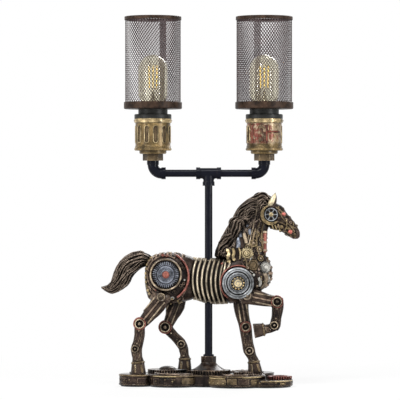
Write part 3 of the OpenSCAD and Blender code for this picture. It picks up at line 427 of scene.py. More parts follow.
gold_plates, dark_plates, edge_rivets, gold_strips, gold_studs = (shape() for _ in range(5))
bare_runs = {0: (-165, 38), 1: (-58, 64), 2: (-34, -12), 3: (-70, 62), 4: (-12, 152), 5: (-172, -52),
             6: (150, 226), 7: (98, 184)}
for lobe, (start, end) in bare_runs.items():
    top = base_top - lobes[lobe][3]
    for height, wide, made in ((top - 1.7, 2.2, gold_plates), (base_low + 1.3, 2.2, dark_plates)):
        path, ways = round_lobe(lobe, start, end, height)
        sweep(made, path, flat_bar(wide, 0.7), ways)
for made, rows in (
    (dark_plates, [(0, -150, -110, 5, 14), (0, -60, -34, 5.5, 13.5), (0, 2, 30, 5.5, 13.5),
                   (1, -50, -34, 5, 14), (1, -22, -3, 5.5, 13.5), (3, 4, 24, 5.5, 14), (4, 2, 22, 4.5, 8),
                   (4, 60, 120, 4.5, 8), (5, -160, -120, 5, 14), (6, 158, 166, 5, 14), (6, 205, 220, 5, 14),
                   (7, 148, 176, 5, 14)]),
    (gold_plates, [(1, 16, 58, 5, 14), (3, -66, -21, 4.5, 13), (3, -18, 0, 5.5, 14.5), (3, 30, 50, 4.5, 13),
                   (4, 30, 44, 4.5, 8), (5, -105, -75, 5, 14), (7, 110, 138, 5, 14)]),
):
    for lobe, start, end, low, high in rows:
        path, ways = round_lobe(lobe, start, end, (low + high) / 2)
        sweep(made, path, flat_bar(high - low, 0.8), ways)
for lobe, start, end, height in ((3, -64, -22, 14.3), (3, 11, 56, 16), (4, 4, 70, 10), (1, -50, 4, 16.6),
                                 (7, 112, 136, 14)):
    path, ways = round_lobe(lobe, start, end, height)
    sweep(gold_strips, path, flat_bar(1.6, 1.3), ways)
for made, rows in (
    (edge_rivets, [(0, -42, 9.5, 1.7), (1, -42, 9.5, 1.7), (1, 36, 9.5, 1.5), (3, -14, 8, 1.5),
                   (3, 57, 8, 1.6), (5, -140, 9.5, 1.7), (7, 124, 9.5, 1.7)]),
    (gold_studs, [(1, -4, 9.5, 1.3), (3, -62, 7.5, 1.3), (3, -50, 7.5, 1.3), (3, -38, 7.5, 1.3),
                  (3, -26, 7.5, 1.3), (3, 40, 8, 1.5), (4, 37, 6.2, 1.3), (5, -90, 9.5, 1.7),
                  (7, 162, 9.5, 1.7)]),
):
    for lobe, angle, height, r in rows:
        path, ways = round_lobe(lobe, angle, angle + 1, height)
        dome(made, facing(path[0] + ways[0] * 0.6, ways[0]), r, 0.8 * r)
piece("base_gold_plates", gold_plates, plate_bronze)
piece("base_dark_plates", dark_plates, base_resin)
piece("base_edge_rivets", edge_rivets, plate_bronze)
piece("base_gold_strips", gold_strips, old_brass)
piece("base_gold_studs", gold_studs, old_brass)

small_parts, small_pipes = shape(), shape()
for x, y, r, teeth in ((-44, -27, 11, 18), (-62, -17, 6.5, 12), (66, 48, 13, 20), (18, 62, 8, 14),
                       (-2, 58, 11, 18), (-112, 12, 7, 12), (66, -44, 8.5, 16), (30, -50, 6, 12),
                       (76, 26, 7, 12)):
    spot_at = Matrix.Translation((x, y, base_top))
    toothed(small_parts, spot_at, r, teeth, 0.13 * r, 1.8)
    dome(small_parts, above(spot_at, 1.7), 0.2 * r, 0.8)
for route in ([(-80, -2), (-70, -30), (-48, -42), (-24, -36)], [(20, -36), (26, -58), (44, -60), (58, -56)],
              [(34, 30), (44, 52), (62, 62), (80, 52)], [(-30, 62), (-14, 70), (10, 70), (28, 60)]):
    line = flow([(x, y, base_top + 0.6) for x, y in route], 30)
    sweep(small_pipes, line, circle(1.5))
    for k in (3, 14, 26):
        along = (line[k + 1] - line[k - 1]).normalized()
        spun(small_pipes, [(1.5, -1.6), (2.1, -1.3), (2.1, 1.3), (1.5, 1.6)],
             facing(line[k], along), 12)
piece("base_small_gears", small_parts, bronze_resin)
piece("base_small_pipes", small_pipes, bronze_resin)


# The pipework: black iron pipe and fittings with a blue-black enamel. The stem stands in a cast gear
# flange with a cone, a hexagonal nut and a lock ring, and the tee, arms and elbows screw together.
enamel, fed, spot = effect("enamel", Deep_Color=(0.01, 0.012, 0.02, 1), Pale_Color=(0.04, 0.045, 0.06, 1),
                          Bare_Color=(0.12, 0.1, 0.08, 1), Gloss=0.3, Scale=70)
cloud = noise(enamel, spot, fed["Scale"], 4)
eased, edge = eased_edge(enamel, 0.0006, 0.98)
chip = times(enamel, edge, spread(enamel, cloud, 0.45, 0.6, 0, 0.7))
tone = mixed(enamel, chip, mixed(enamel, cloud, fed["Deep Color"], fed["Pale Color"]), fed["Bare Color"])
dull = reckon(enamel, "ADD", spread(enamel, cloud, 0, 1, -0.08, 0.14), fed["Gloss"])
gives(enamel, Color=tone, Roughness=dull, Height=noise(enamel, spot, 520, 2), Rounded=eased)

black_iron = use_effect(
    finish("black_iron", Specular_IOR_Level=0.08), enamel, bump=0.12,
    Deep_Color=(0.0018, 0.0022, 0.0052, 1), Pale_Color=(0.0085, 0.0092, 0.0155, 1),
    Bare_Color=(0.1, 0.08, 0.055, 1), Gloss=0.16)
dress(base_resin, "flange_gear", "flange_cone", "flange_nut")
dress(black_iron, "lock_ring", "stem_pipe", "tee", "arm_pipes", "elbows")
zinc_steel = antique("zinc_steel", (0.1, 0.1, 0.1), (0.42, 0.43, 0.44), (0.6, 0.6, 0.6), 0.5, 150, 0.3,
                     metal=0.9)
dress(zinc_steel, "stem_washer", "stem_lock_nut", "socket_nipples")
splice_plastic = use_effect(
    finish("splice_plastic"), mould_grain, Low_Color=(0.32, 0.08, 0.02, 1), High_Color=(0.42, 0.12, 0.03, 1),
    Scale=900)
dress(splice_plastic, "splice_caps")
wire_cover = use_effect(
    finish("wire_cover"), mould_grain, Low_Color=(0.45, 0.42, 0.36, 1), High_Color=(0.55, 0.52, 0.45, 1),
    Scale=900)
dress(wire_cover, "lamp_wires")


# The horse's body: cold-cast resin in pieces glued round the stem, painted antique bronze, black in the
# hollows, partly its dark wash and partly painted shade, and rubbed with gold on what stands proud. Its
# castings are smoothed so that no facet shows.
def smoothed(name, grain, passes):
    """A finely and evenly faced skin over a CAD casting."""
    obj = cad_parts[name]
    even = obj.modifiers.new("even_skin", "REMESH")
    even.mode = "VOXEL"
    even.voxel_size = grain * mm
    even.use_smooth_shade = True
    soft = obj.modifiers.new("eased_skin", "SMOOTH")
    soft.factor = 0.5
    soft.iterations = passes


castings = ("horse_hindquarters", "horse_forequarters", "horse_neck", "horse_head", "near_hind_leg",
            "far_hind_leg", "near_fore_leg", "far_fore_leg")
dress(bronze_resin, *castings)
for name in castings:
    smoothed(name, 0.9, 4)


def skin_of(*names):
    """The surface of CAD nodes, in millimetres, to set small parts on."""
    corners, faces = [], []
    for name in names:
        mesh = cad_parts[name].data
        start = len(corners)
        corners += [v.co / mm for v in mesh.vertices]
        faces += [[start + i for i in p.vertices] for p in mesh.polygons]
    return BVHTree.FromPolygons(corners, faces)


figure = skin_of("horse_hindquarters", "horse_barrel", "horse_forequarters", "horse_neck", "horse_head")


def on_side(x, z, side, skin=figure, far=70):
    """The point and outward direction of a flank at x, z; side is -1 near and 1 far."""
    hit, normal, _, _ = skin.ray_cast(Vector((x, side * far, z)), Vector((0, -side, 0)))
    if hit is None:
        hit, normal, _, _ = skin.find_nearest(Vector((x, side * 6, z)))
    if normal.y * side < 0:
        normal = -normal
    return hit, normal


def stand(x, z, side, lift=0.0):
    """A place on a flank, its Z pointing out of the skin."""
    hit, normal = on_side(x, z, side)
    return facing(hit + normal * lift, normal)


def strap(made, points, side, section, count=24, skin=figure, lift=0.0):
    """A bar laid on a flank through points of x, z."""
    line = flow([(x, z, 0) for x, z in points], count)
    found = [on_side(p.x, p.y, side, skin) for p in line]
    sweep(made, [h + n * lift for h, n in found], section, [n for _, n in found])


def small_machinery(gold, dark, silver, red, side, count, apart, region):
    """Strews bosses, gears, rings, plates and short bars over a flank wherever region allows."""
    taken = []
    (x0, x1), (z0, z1), allowed = region
    for _ in range(count * 6):
        x, z = dice.uniform(x0, x1), dice.uniform(z0, z1)
        near = any(math.hypot(x - u, z - v) < apart for u, v in taken)
        if len(taken) >= count or not allowed(x, z) or near:
            continue
        hit, normal = on_side(x, z, side)
        if abs(hit.x - x) + abs(hit.z - z) > 0.5 or abs(normal.y) < 0.25:
            continue
        taken.append((x, z))
        made = dice.choices((gold, dark, silver, red), (2, 8, 1, 1))[0]
        place = stand(x, z, side)
        turned = place @ Matrix.Rotation(dice.uniform(0, math.pi), 4, "Z")
        size = dice.uniform(0.42, 0.62) * apart
        kind = dice.random()
        if kind < 0.3:
            dome(made, place, 0.62 * size, 0.55 * size)
        elif kind < 0.5:
            toothed(made, above(turned, -0.5), size, 10, 0.17 * size, 1.9)
            dome(dark, above(place, 1.2), 0.34 * size, 0.9)
        elif kind < 0.66:
            spun(made, [(size, -0.6), (size, 0.7), (0.86 * size, 1.2), (0.62 * size, 1.2), (0.5 * size, 0.4),
                        (0.1, 0.3)],
                 place, 16)
        elif kind < 0.8:
            spun(made, [(size, -0.6), (size, 0.8), (0.84 * size, 1.3), (0.3 * size, 1.3), (0.1, 1.3)],
                 turned, 6)
        else:
            sweep(made, [turned @ Vector((size * (0.55 * k - 1.1), 0, 0)) for k in range(5)],
                  flat_bar(0.62 * size, 1.2), turned.to_3x3() @ Vector((0, 0, 1)))


def met(skin, starts, way):
    """Where rays meet a skin, and its outward directions there."""
    found = [ray[:2] for ray in (skin.ray_cast(Vector(p), Vector(way)) for p in starts) if ray[0] is not None]
    return [hit for hit, _ in found], [out for _, out in found]


def arc(x, z, r, start, end):
    """Points of x, z on a circle."""
    return [(x + r * math.cos(math.radians(start + (end - start) * k / 8)),
             z + r * math.sin(math.radians(start + (end - start) * k / 8))) for k in range(9)]


bands, bosses = shape(), shape()
small_gold, small_dark, small_silver, small_red = (shape() for _ in range(4))
dice = random.Random(3)
hip_x, hip_z, stifle_x, stifle_z = -64, 167.4, -68.7, 129.9
haunch = ((-92, -36), (118, 206),
          lambda x, z: math.hypot(x - hip_x, z - hip_z) > 26 and math.hypot(x - stifle_x, z - stifle_z) > 7)
for side in (-1, 1):
    small_machinery(small_gold, small_dark, small_silver, small_red, side, 74, 5.2, haunch)
    strap(bands, arc(hip_x, hip_z, 27.6, 60, 262), side, flat_bar(2.6, 1.2), 40)
    strap(bands, arc(hip_x, hip_z, 31.5, 96, 150), side, flat_bar(2.2, 1.0), 24)
    strap(bands, [(-36, 186), (-31, 170), (-33, 150), (-40, 134)], side, flat_bar(3.2, 1.4))
    strap(bands, [(-90, 150), (-82, 140), (-72, 134), (-62, 132)], side, flat_bar(4.0, 1.4))
    strap(bands, [(-88, 140), (-80, 132), (-70, 127)], side, flat_bar(3.0, 1.2))
    for p in flow([(-87, 194, 0), (-92, 182, 0), (-93.8, 169, 0), (-93.2, 156, 0), (-90.5, 144, 0),
                   (-85, 133, 0)], 11):
        dome(bosses, stand(p.x, p.y, side), 3.0, 1.8)
    for x, z, r in ((-48, 199, 2), (-58, 203, 2), (-70, 203, 2), (-81, 199, 2), (-37, 196, 1.8),
                    (-55, 131, 2.2), (-46, 128, 1.8), (-40, 122, 2), (-75, 138, 1.6)):
        dome(bosses, stand(x, z, side), r, 0.7 * r)
    dome(bosses, stand(stifle_x, stifle_z, side), 6, 1.6)
    dome(bosses, stand(stifle_x, stifle_z, side, lift=1.4), 3, 1.6)
croup = shape()
for k in range(9):
    x = -84 + 5.6 * k
    line, ways = met(figure, [(x, y, 260) for y in range(-15, 16, 3)], (0, 0, -1))
    sweep(croup, line, flat_bar(2.8, 1.2), ways)
piece("haunch_bands", bands, bronze_resin)
piece("haunch_bosses", bosses, old_brass)
piece("croup_ribs", croup, bronze_resin)
piece("haunch_small_gold", small_gold, old_brass)
piece("haunch_small_bronze", small_dark, bronze_resin)


# The barrel: seven round hoops over a sunk core that is near-black, painted shade in the gaps between
# them, joined by a spine bar and a belly bar, all one casting that the stem pipe runs through.
def trunk_at(x):
    """Middle height, half height and half width of the trunk."""
    rows = [(-38, 143, 34.5, 25.5), (-27.5, 142.5, 32, 24), (-12.5, 139.5, 34, 24.5), (2.5, 138.5, 35, 25.5),
            (17.5, 139, 35, 26), (32.5, 142, 36.5, 26)]
    for a, b in zip(rows, rows[1:]):
        if x <= b[0]:
            t = (x - a[0]) / (b[0] - a[0])
            return [a[i] + (b[i] - a[i]) * t for i in (1, 2, 3)]


def trunk_hoop(x, sink, count=64):
    """Points round the trunk at x, sunk under its skin, and their outward ways."""
    middle, tall, wide = trunk_at(x)
    line, ways = [], []
    for k in range(count):
        a = 2 * math.pi * k / count
        c = math.copysign(abs(math.cos(a)) ** (2 / 2.2), math.cos(a))
        s = math.copysign(abs(math.sin(a)) ** (2 / 2.2), math.sin(a))
        line.append(Vector((x + 7 * c * c, (wide - sink) * s, base_top + middle + (tall - sink) * c)))
        ways.append(Vector((0, s / wide, c / tall)).normalized())
    return line, ways


core, hoops = shape(), shape()
loft(core, [trunk_hoop(-27.5 + 48 * k / 12, 3.6)[0] for k in range(13)])
rib = [(-1.6, -3.4), (-1.55, -1.5), (-0.8, -0.3), (0, 0.1), (0.8, -0.3), (1.55, -1.5), (1.6, -3.4)]
for k in range(7):
    line, ways = trunk_hoop(-24.07 + 6.857 * k, 0.2)
    sweep(hoops, line, rib, ways, closed=True)
for c in (1, -1):
    line = []
    for k in range(15):
        x = -30 + 52 * k / 14
        middle, tall, _ = trunk_at(x)
        line.append(Vector((x + 7, 0, base_top + middle + c * (tall - 0.8))))
    sweep(hoops, line, [(-7, -4.2), (-4.4, -0.6), (-2.2, 0.7), (2.2, 0.7), (4.4, -0.6), (7, -4.2)],
          Vector((0, 0, c)))
# Near-black for the barrel core, the masses under the mane and tail locks, the hip rings, the wheels' groove
# lines and eye holes, and the leg pivots: painted shade in gaps, grooves and holes, and dark paint on the
# pivots.
black_paint_and_shade = antique("black_paint_and_shade", (0.003, 0.0025, 0.002), (0.008, 0.006, 0.005), (0.03, 0.02, 0.014),
                       0.4, 120, 0.5, shine=0.06)
piece("barrel_core", core, black_paint_and_shade, replaced=("horse_barrel",))
rib_bronze = antique("rib_bronze", (0.004, 0.003, 0.0025), (0.07, 0.048, 0.032), (0.78, 0.62, 0.43), 1.0, 90,
                     0.2, metal=0.15, shine=0.16, crest=0.5, bare=0.26)
hoop_bronze = antique("hoop_bronze", (0.006, 0.0045, 0.0035), (0.12, 0.088, 0.058), (0.98, 0.84, 0.62), 1.0,
                      60, 0.18, metal=0.15, shine=0.2, crest=0.6, bare=0.5)
piece("barrel_hoops", hoops, hoop_bronze)


# The legs: cast channel links between ringed pivots. The upper links carry two raised rails and a rod, the
# lower ones a beaded panel with two bolts. Each hoof has a collar, and those that stand have thin plates.
legs = {
    "near_hind_leg": (-16, [(-72, 131, -97, 100, 12), (-103.5, 87, -108, 61, 7), (-108.5, 51, -106, 38, 6)]),
    "far_hind_leg": (16, [(-50, 128, -63, 95, 11), (-58, 80, -46, 67, 7), (-40, 54, -37, 43, 6)]),
    "near_fore_leg": (-16, [(66, 134, 95, 128, 10), (102.5, 119, 100, 99, 7.5), (92, 87, 84, 85.6, 6)]),
    "far_fore_leg": (16, [(49.5, 128, 54.5, 96, 9), (57.5, 80, 60.5, 58, 7.5), (64.5, 45, 67.5, 36, 6.5)]),
}


def swelling(made, centre, radii, count=14, sides=28):
    """A rounded muscle plate: an ellipsoid with a shallow groove near its rim."""
    rows = []
    for i in range(count + 1):
        a = math.pi * (i + 0.04) / (count + 0.08)
        across = math.sin(a) * (0.955 if 0.66 < abs(math.cos(a)) < 0.8 else 1)
        rows.append([Vector(centre) + Vector((radii[0] * across * x, radii[1] * math.cos(a),
                                              radii[2] * across * z))
                     for x, z in circle(1, sides)])
    loft(made, rows)


def collar(made, skin, centre, axis, wide, proud):
    """A band round a limb, square to its axis."""
    centre, axis = Vector(centre), Vector(axis).normalized()
    one = axis.cross(Vector((0, 1, 0))).normalized()
    line, ways = [], []
    for k in range(28):
        a = 2 * math.pi * k / 28
        way = one * math.cos(a) + Vector((0, 1, 0)) * math.sin(a)
        hit, _, _, _ = skin.ray_cast(centre + way * 24, -way)
        if hit is not None:
            line.append(hit)
            ways.append(way)
    sweep(made, line, flat_bar(wide, proud), ways, closed=True)


shields, shield_discs, cuffs = (shape() for _ in range(3))
for centre, radii in (((-71, -16, 134), (16, 12.2, 12)), ((-50, 16, 134), (15, 12.2, 12)),
                      ((57, -16, 136), (14, 12.6, 11.5)), ((49, 16, 134), (12, 12.2, 13))):
    swelling(shields, centre, radii)
    face = facing((centre[0], centre[1] + math.copysign(radii[1] - 0.7, centre[1]), centre[2]),
                  (0, centre[1], 0))
    spun(shield_discs, [(6.2, -1), (6.2, 0.9), (5.4, 1.5), (4.6, 1.2), (4.0, 0.5), (2.6, 0.5), (2.3, 1.6),
                        (1.2, 2.2), (0.1, 2.3)],
         face)
for name, centre, axis in (
    ("near_hind_leg", (-105.5, -16, 36), (0.1, 0, -1)), ("far_hind_leg", (-36, 16, 39.5), (0, 0, -1)),
    ("far_fore_leg", (68, 16, 35), (0.15, 0, -1)), ("near_fore_leg", (82, -16, 85.3), (-1, 0, -0.16)),
):
    collar(cuffs, skin_of(name), centre, axis, 2.8, 1.0)
piece("thigh_shields", shields, bronze_resin)
piece("shield_discs", shield_discs, rib_bronze)
hoof_plates = shape()
for name, x, z, lean in (("near_hind_leg", -105, 33, 0.12), ("far_hind_leg", -36, 36, 0.05),
                         ("far_fore_leg", 69, 32, 0.2)):
    hoof = skin_of(name)
    for face in (-1, 1):
        for shift in (-5.2, 4.6):
            strap(hoof_plates, [(x + shift * 0.9, z), (x + shift + lean * 6, z - 6),
                                (x + shift * 1.15 + lean * 11, z - 11.5)],
                  face, flat_bar(3.2, 0.9), 10, hoof)
piece("hoof_plates", hoof_plates, plate_bronze)
piece("hoof_collars", cuffs, plate_bronze)
rails, panels, beads, rods, bolt_heads = (shape() for _ in range(5))
for name, (middle, links) in legs.items():
    skin = skin_of(name)
    for order, (x0, z0, x1, z1, half) in enumerate(links):
        along = Vector((x1 - x0, z1 - z0)).normalized()
        over = Vector((-along.y, along.x))
        for face in (-1, 1):
            if order == 0:
                laid = [(0.66 * half * edge, flat_bar(2.3, 1.1), rails) for edge in (-1, 1)]
                laid.append((0, circle(1.35), rods))
            else:
                laid = [(0, flat_bar(0.95 * half, 1.1), panels)]
                laid += [(0.68 * half * edge, circle(0.75), beads) for edge in (-1, 1)]
            for offset, section, made in laid:
                line, ways = [], []
                for k in range(9):
                    x = x0 + (x1 - x0) * k / 8 + over.x * offset
                    z = z0 + (z1 - z0) * k / 8 + over.y * offset
                    hit, normal, _, _ = skin.ray_cast(Vector((x, middle + face * 20, z)),
                                                      Vector((0, -face, 0)), 24)
                    if hit is not None:
                        line.append(hit)
                        ways.append(normal if normal.y * face > 0 else -normal)
                if len(line) > 3:
                    sweep(made, line, section, ways)
                if len(line) > 3 and made is panels:
                    for p, way in ((line[1], ways[1]), (line[-2], ways[-2])):
                        dome(bolt_heads, facing(p + way * 0.9, way), 1.3, 0.9)
pivots = [(-103.2, 75.5, -16, 7.6, 7.5), (-110, 38, -16, 6.8, 5.4), (-65.5, 69, 16, 7.6, 8),
          (-41.4, 43.5, 16, 6.8, 6), (102.2, 108.4, -16, 7.6, 7.4), (97.8, 73.2, -16, 6.8, 6.2),
          (55.8, 69.4, 16, 7.6, 6.6), (61.3, 33.4, 16, 6.8, 6.2)]
rims, rings, bolts = (shape() for _ in range(3))
for number, (x, z, y, half, r) in enumerate(pivots):
    for face in (-1, 1):
        out_way = Vector((0, face, 0))
        seat = Vector((x, y + face * (half + 1.2), base_top + z))
        turn = [Vector((u, 0, v)) for u, v in circle(1, 36)]
        sweep(rings, [seat + way * (0.86 * r) for way in turn], circle(0.95, 6), out_way, closed=True)
        if number % 2 == 0:
            sweep(rims, [seat + way * (1.14 * r) - out_way * 1.2 for way in turn], circle(1.0, 6), out_way,
                  closed=True)
        dome(bolts, facing(seat, out_way), 0.3 * r, 1.6, 1.4)
piece("leg_rails", rails, rib_bronze)
piece("leg_panels", panels, base_resin)
piece("leg_beads", beads, base_resin)
piece("leg_panel_bolts", bolt_heads, rib_bronze)
piece("leg_rods", rods, bronze_resin)
piece("pivot_rims", rims, copper)
piece("pivot_rings", rings, rib_bronze)
piece("pivot_bolts", bolts, rib_bronze)
dress(black_paint_and_shade, "leg_pivots")


# The hip and shoulder wheels: toothed and ringed discs pinned to flats on the flanks, grey-blue steel and
# silver paint, with copper and brass hubs and rings of small screws.
steel_blue = antique("steel_blue", (0.004, 0.004, 0.005), (0.07, 0.078, 0.102), (0.5, 0.53, 0.59), 0.85, 190,
                     0.24, metal=0.15, shine=0.16, crest=0.4, bare=0.28)
silver_resin = antique("silver_resin", (0.006, 0.006, 0.006), (0.23, 0.22, 0.195), (0.95, 0.92, 0.84), 0.85,
                       170, 0.22, metal=0.2, shine=0.2, crest=0.4, bare=0.3)
# The hip rings are near-black: painted shade in the gap round each hip gear.
dress(black_paint_and_shade, "hip_rings")
dress(old_brass, "neck_gears")
dress(steel_blue, "hip_gears")
disc_steel = antique("disc_steel", (0.006, 0.006, 0.006), (0.135, 0.144, 0.156), (0.8, 0.83, 0.84), 0.95, 60,
                     0.2, metal=0.3, shine=0.2, crest=0.4, bare=0.3)
dress(disc_steel, "shoulder_discs")
eye_steel = antique("eye_steel", (0.004, 0.004, 0.005), (0.05, 0.052, 0.062), (0.34, 0.35, 0.38), 0.85, 190,
                    0.24, metal=0.15, shine=0.16, crest=0.3, bare=0.2)
dress(eye_steel, "eye_wheels")
dress(copper, "copper_pipes")
# The groove lines on both wheels and the disc under each shoulder star are thin raised rings and discs in
# near-black: painted shade of grooves.
hubs, stars, screws, hoop_rings, painted_groove_shade, disc_rims = (shape() for _ in range(6))
gold_hubs = shape()
shoulder_x, shoulder_z = 43.8, 154.7


def ring_on(made, place, r, height, section, count=60):
    """A hoop of the given section on a wheel's face."""
    line = [place @ Vector((x, y, height)) for x, y in circle(r, count)]
    sweep(made, line, section, place.to_3x3() @ Vector((0, 0, 1)), closed=True)


for side in (-1, 1):
    out_way = Vector((0, side, 0))
    hip = facing((hip_x, side * 28.5, hip_z), out_way)
    spun(hubs, [(5.6, 2.4), (5.6, 3.4), (5.0, 4.6), (3.6, 5.5), (1.8, 6.0), (0.1, 6.1)], hip)
    ring_on(hoop_rings, hip, 22.7, 2.4, circle(1.3))
    ring_on(painted_groove_shade, hip, 13.9, 2.0, flat_bar(0.9, 0.2))
    for x, y in circle(1, 36):
        sweep(painted_groove_shade, [hip @ Vector((x * r, y * r, 2.0)) for r in (15.4, 16.6, 17.8, 19.0)],
              flat_bar(1.25, 0.25), out_way)
    for x, y in circle(9, 12):
        dome(screws, hip @ Matrix.Translation((x, y, 2.4)), 1.1, 0.8)
    shoulder = facing((shoulder_x, side * 27.5, shoulder_z), out_way)
    ring_on(disc_rims, shoulder, 22.5, 1.7, circle(1.0))
    ring_on(disc_rims, shoulder, 15.1, 2.7, circle(0.8))
    for r, height, wide in ((20.4, 2.4, 0.7), (17.05, 1.5, 1.4), (12.6, 3.05, 0.8)):
        ring_on(painted_groove_shade, shoulder, r, height, flat_bar(wide, 0.2))
    spun(painted_groove_shade, [(10.9, 3.1), (10.9, 3.5), (10.5, 3.6), (5, 3.6), (0.1, 3.6)], shoulder, 32)
    toothed(stars, above(shoulder, 3.4), 9.6, 12, 2.3, 1.6)
    spun(gold_hubs, [(5.8, 4.6), (5.8, 5.7), (5.2, 6.6), (4.2, 7.0), (3.6, 6.8), (2.6, 6.8), (2.2, 7.4),
                     (1.2, 7.8), (0.1, 7.8)], shoulder)
    for x, y in circle(14.0, 14, math.radians(9)):
        dome(screws, shoulder @ Matrix.Translation((x, y, 2.8)), 0.8, 0.7)
piece("hip_hubs", hubs, copper)
piece("haunch_small_silver", small_silver, silver_resin)
piece("haunch_small_copper", small_red, copper)
piece("shoulder_stars", stars, old_brass)
piece("wheel_screws", screws, steel_blue)
piece("hip_hoops", hoop_rings, rib_bronze)
piece("wheel_groove_shade", painted_groove_shade, black_paint_and_shade)
piece("shoulder_rims", disc_rims, disc_steel)


# The neck and chest machinery: cast plates, pipes and small gears set on the neck, with gold bars and
# bronze ribs over the withers, and straps across the breast.
plates, pipes, little_gears, caps = (shape() for _ in range(4))
withers_gold, withers_ribs, blue_plates, rosettes, boss_plates = (shape() for _ in range(5))
neck_skin = skin_of("horse_mane", "horse_neck", "horse_forequarters")
small_gold, small_dark, small_silver, small_red = (shape() for _ in range(4))
neck_front = ((50, 92), (176, 250), lambda x, z: x > 53 + 0.32 * (z - 176) and x < 84)
chest_side = ((52, 94), (132, 178), lambda x, z: math.hypot(x - shoulder_x, z - shoulder_z) > 26)
withers = ((20, 56), (180, 206), lambda x, z: z < 186 + 0.45 * (x - 10) and not 23 < x < 50)
for side in (-1, 1):
    small_machinery(small_gold, small_dark, small_silver, small_red, side, 70, 4.6, neck_front)
    small_machinery(small_gold, small_dark, small_silver, small_red, side, 60, 4.8, chest_side)
    small_machinery(small_gold, small_dark, small_silver, small_red, side, 24, 4.4, withers)
    for points, wide in (([(28.5, 204), (30.7, 199), (29.4, 193), (31, 187), (29.6, 184)], 5.4),
                         ([(36.2, 206), (38, 200), (36.8, 194), (38.2, 188)], 4.4),
                         ([(45, 207), (47, 200), (46.5, 190)], 2.6)):
        strap(withers_gold, points, side, flat_bar(wide, 1.9, 2.4), 24, lift=1.6)
    for points in ([(25.6, 187), (25.2, 180), (23.4, 172), (20.5, 163)],
                   [(32, 184), (30.8, 180), (28.8, 176)]):
        strap(withers_ribs, points, side, circle(1.5), 18, lift=1.0)
    for points, wide in (([(58, 241), (61, 234), (62, 227)], 5.5),
                         ([(42.5, 222), (44.5, 214), (44.5, 207)], 6.5),
                         ([(45, 237), (46.5, 230), (48, 223)], 5)):
        strap(blue_plates, points, side, flat_bar(wide, 1.8), 16, neck_skin, -0.5)
    strap(plates, [(53, 229), (54.8, 221), (56, 214)], side, flat_bar(5, 1.8), 16, neck_skin, 0.5)
    strap(plates, [(73, 272), (71.8, 261), (68, 244), (63.5, 226), (59.8, 211)], side, circle(1.1), 36,
          neck_skin, 0.8)
    rosette = facing((57, 17 * side, 199), (0, side, 0))
    toothed(rosettes, rosette, 9.4, 18, 1.3, 2.0)
    spun(rosettes, [(6.9, 1.5), (6.9, 2.9), (6.2, 3.3), (5.5, 2.9), (4.9, 2.2), (4.4, 2.2), (4.0, 4.0),
                    (3.0, 4.6), (2.4, 4.0), (1.6, 4.0), (1.2, 4.8), (0.1, 4.9)], rosette)
    boss = facing((66.3, 20.5 * side, 181.7), (0, side, 0))
    spun(boss_plates, [(9.0, 1.5), (9.0, 2.3), (8.3, 2.8), (6.3, 2.8), (5.9, 2.2), (5.2, 2.2), (4.8, 4.0),
                       (3.2, 4.8), (0.1, 5.0)],
         boss, 6)
    for points, r in (([(83, 246), (79, 230), (80, 212), (84, 196)], 1.8),
                      ([(76, 244), (72, 228), (72, 210), (76, 194)], 1.5),
                      ([(70, 236), (66, 220), (64, 204), (66, 190)], 1.7),
                      ([(60, 226), (57, 212), (58, 198)], 1.4), ([(88, 192), (87, 178), (80, 170)], 1.5),
                      ([(55, 191), (57, 183), (56, 176)], 1.3)):
        strap(pipes, points, side, circle(r), 26, lift=0.5)
    for x, z, r, teeth in ((71, 227.5, 5.2, 12), (67, 214, 6, 14), (75.5, 205, 4.6, 12), (58, 208, 4.4, 12),
                           (79, 219, 3.8, 10), (63, 197, 4.2, 12), (77, 191, 4.8, 12)):
        place = stand(x, z, side)
        toothed(little_gears, above(place, -0.6), r, teeth, 0.16 * r, 2.4)
        dome(caps, above(place, 1.5), 0.34 * r, 1.2)
    for x, z, r in ((61, 167.4, 2.7), (89, 183, 2.0), (90.5, 172, 1.8), (85, 163, 1.8), (78, 160, 2.4),
                    (72, 150, 2.2), (82, 151, 2.6), (88, 158, 1.8), (70, 182, 2.0), (52, 180, 1.8)):
        dome(caps, stand(x, z, side), r, 0.7 * r)
breast = shape()
for k in range(6):
    line, ways = met(figure, [(200, y, 142 + 9 * k) for y in range(-12, 13, 3)], (-1, 0, 0))
    if len(line) > 3:
        sweep(breast, line, flat_bar(4.4, 1.3), ways)
silver_gears = shape()
for side in (-1, 1):
    chest_way = Vector((0.5736, 0.8192 * side, 0))
    chest = facing(Vector((83.6, 15.2 * side, 177.9)) + chest_way * 1.2, chest_way)
    toothed(silver_gears, chest, 8.9, 18, 1.4, 1.8)
    spun(silver_gears, [(6.6, 1.6), (6.6, 2.2), (5.6, 2.5), (4.8, 2.0), (3.6, 2.0), (3.2, 3.0), (1.6, 3.6),
                        (0.1, 3.7)], chest)
    strap(plates, [(83, 170), (86, 162), (84, 153), (78, 146)], side, flat_bar(6.5, 1.6), 20)
    strap(silver_gears, [(74, 163), (77, 157), (76, 150)], side, flat_bar(5, 1.6), 14)
    strap(silver_gears, [(88, 168), (90, 162), (89, 156)], side, flat_bar(4, 1.4), 14)
    for z in (247, 231, 215.4, 203.4):
        ring = [v.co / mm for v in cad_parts["copper_pipes"].data.vertices
                if v.co.x > 0.07 and v.co.y * side > 0 and abs(v.co.z / mm - z) < 14]
        if ring:
            middle = sum(ring, Vector()) / len(ring)
            spun(plates, [(3.0, -1.5), (4.0, -1.2), (4.0, 1.2), (3.0, 1.5)],
                 Matrix.Translation((middle.x, middle.y, z)), 20)
piece("chest_gears", silver_gears, silver_resin)
bright_gold = antique("bright_gold", (0.01, 0.006, 0.003), (0.34, 0.25, 0.12), (0.95, 0.82, 0.52), 0.95, 100,
                      0.2, metal=0.2, shine=0.2, crest=0.4, bare=0.45)
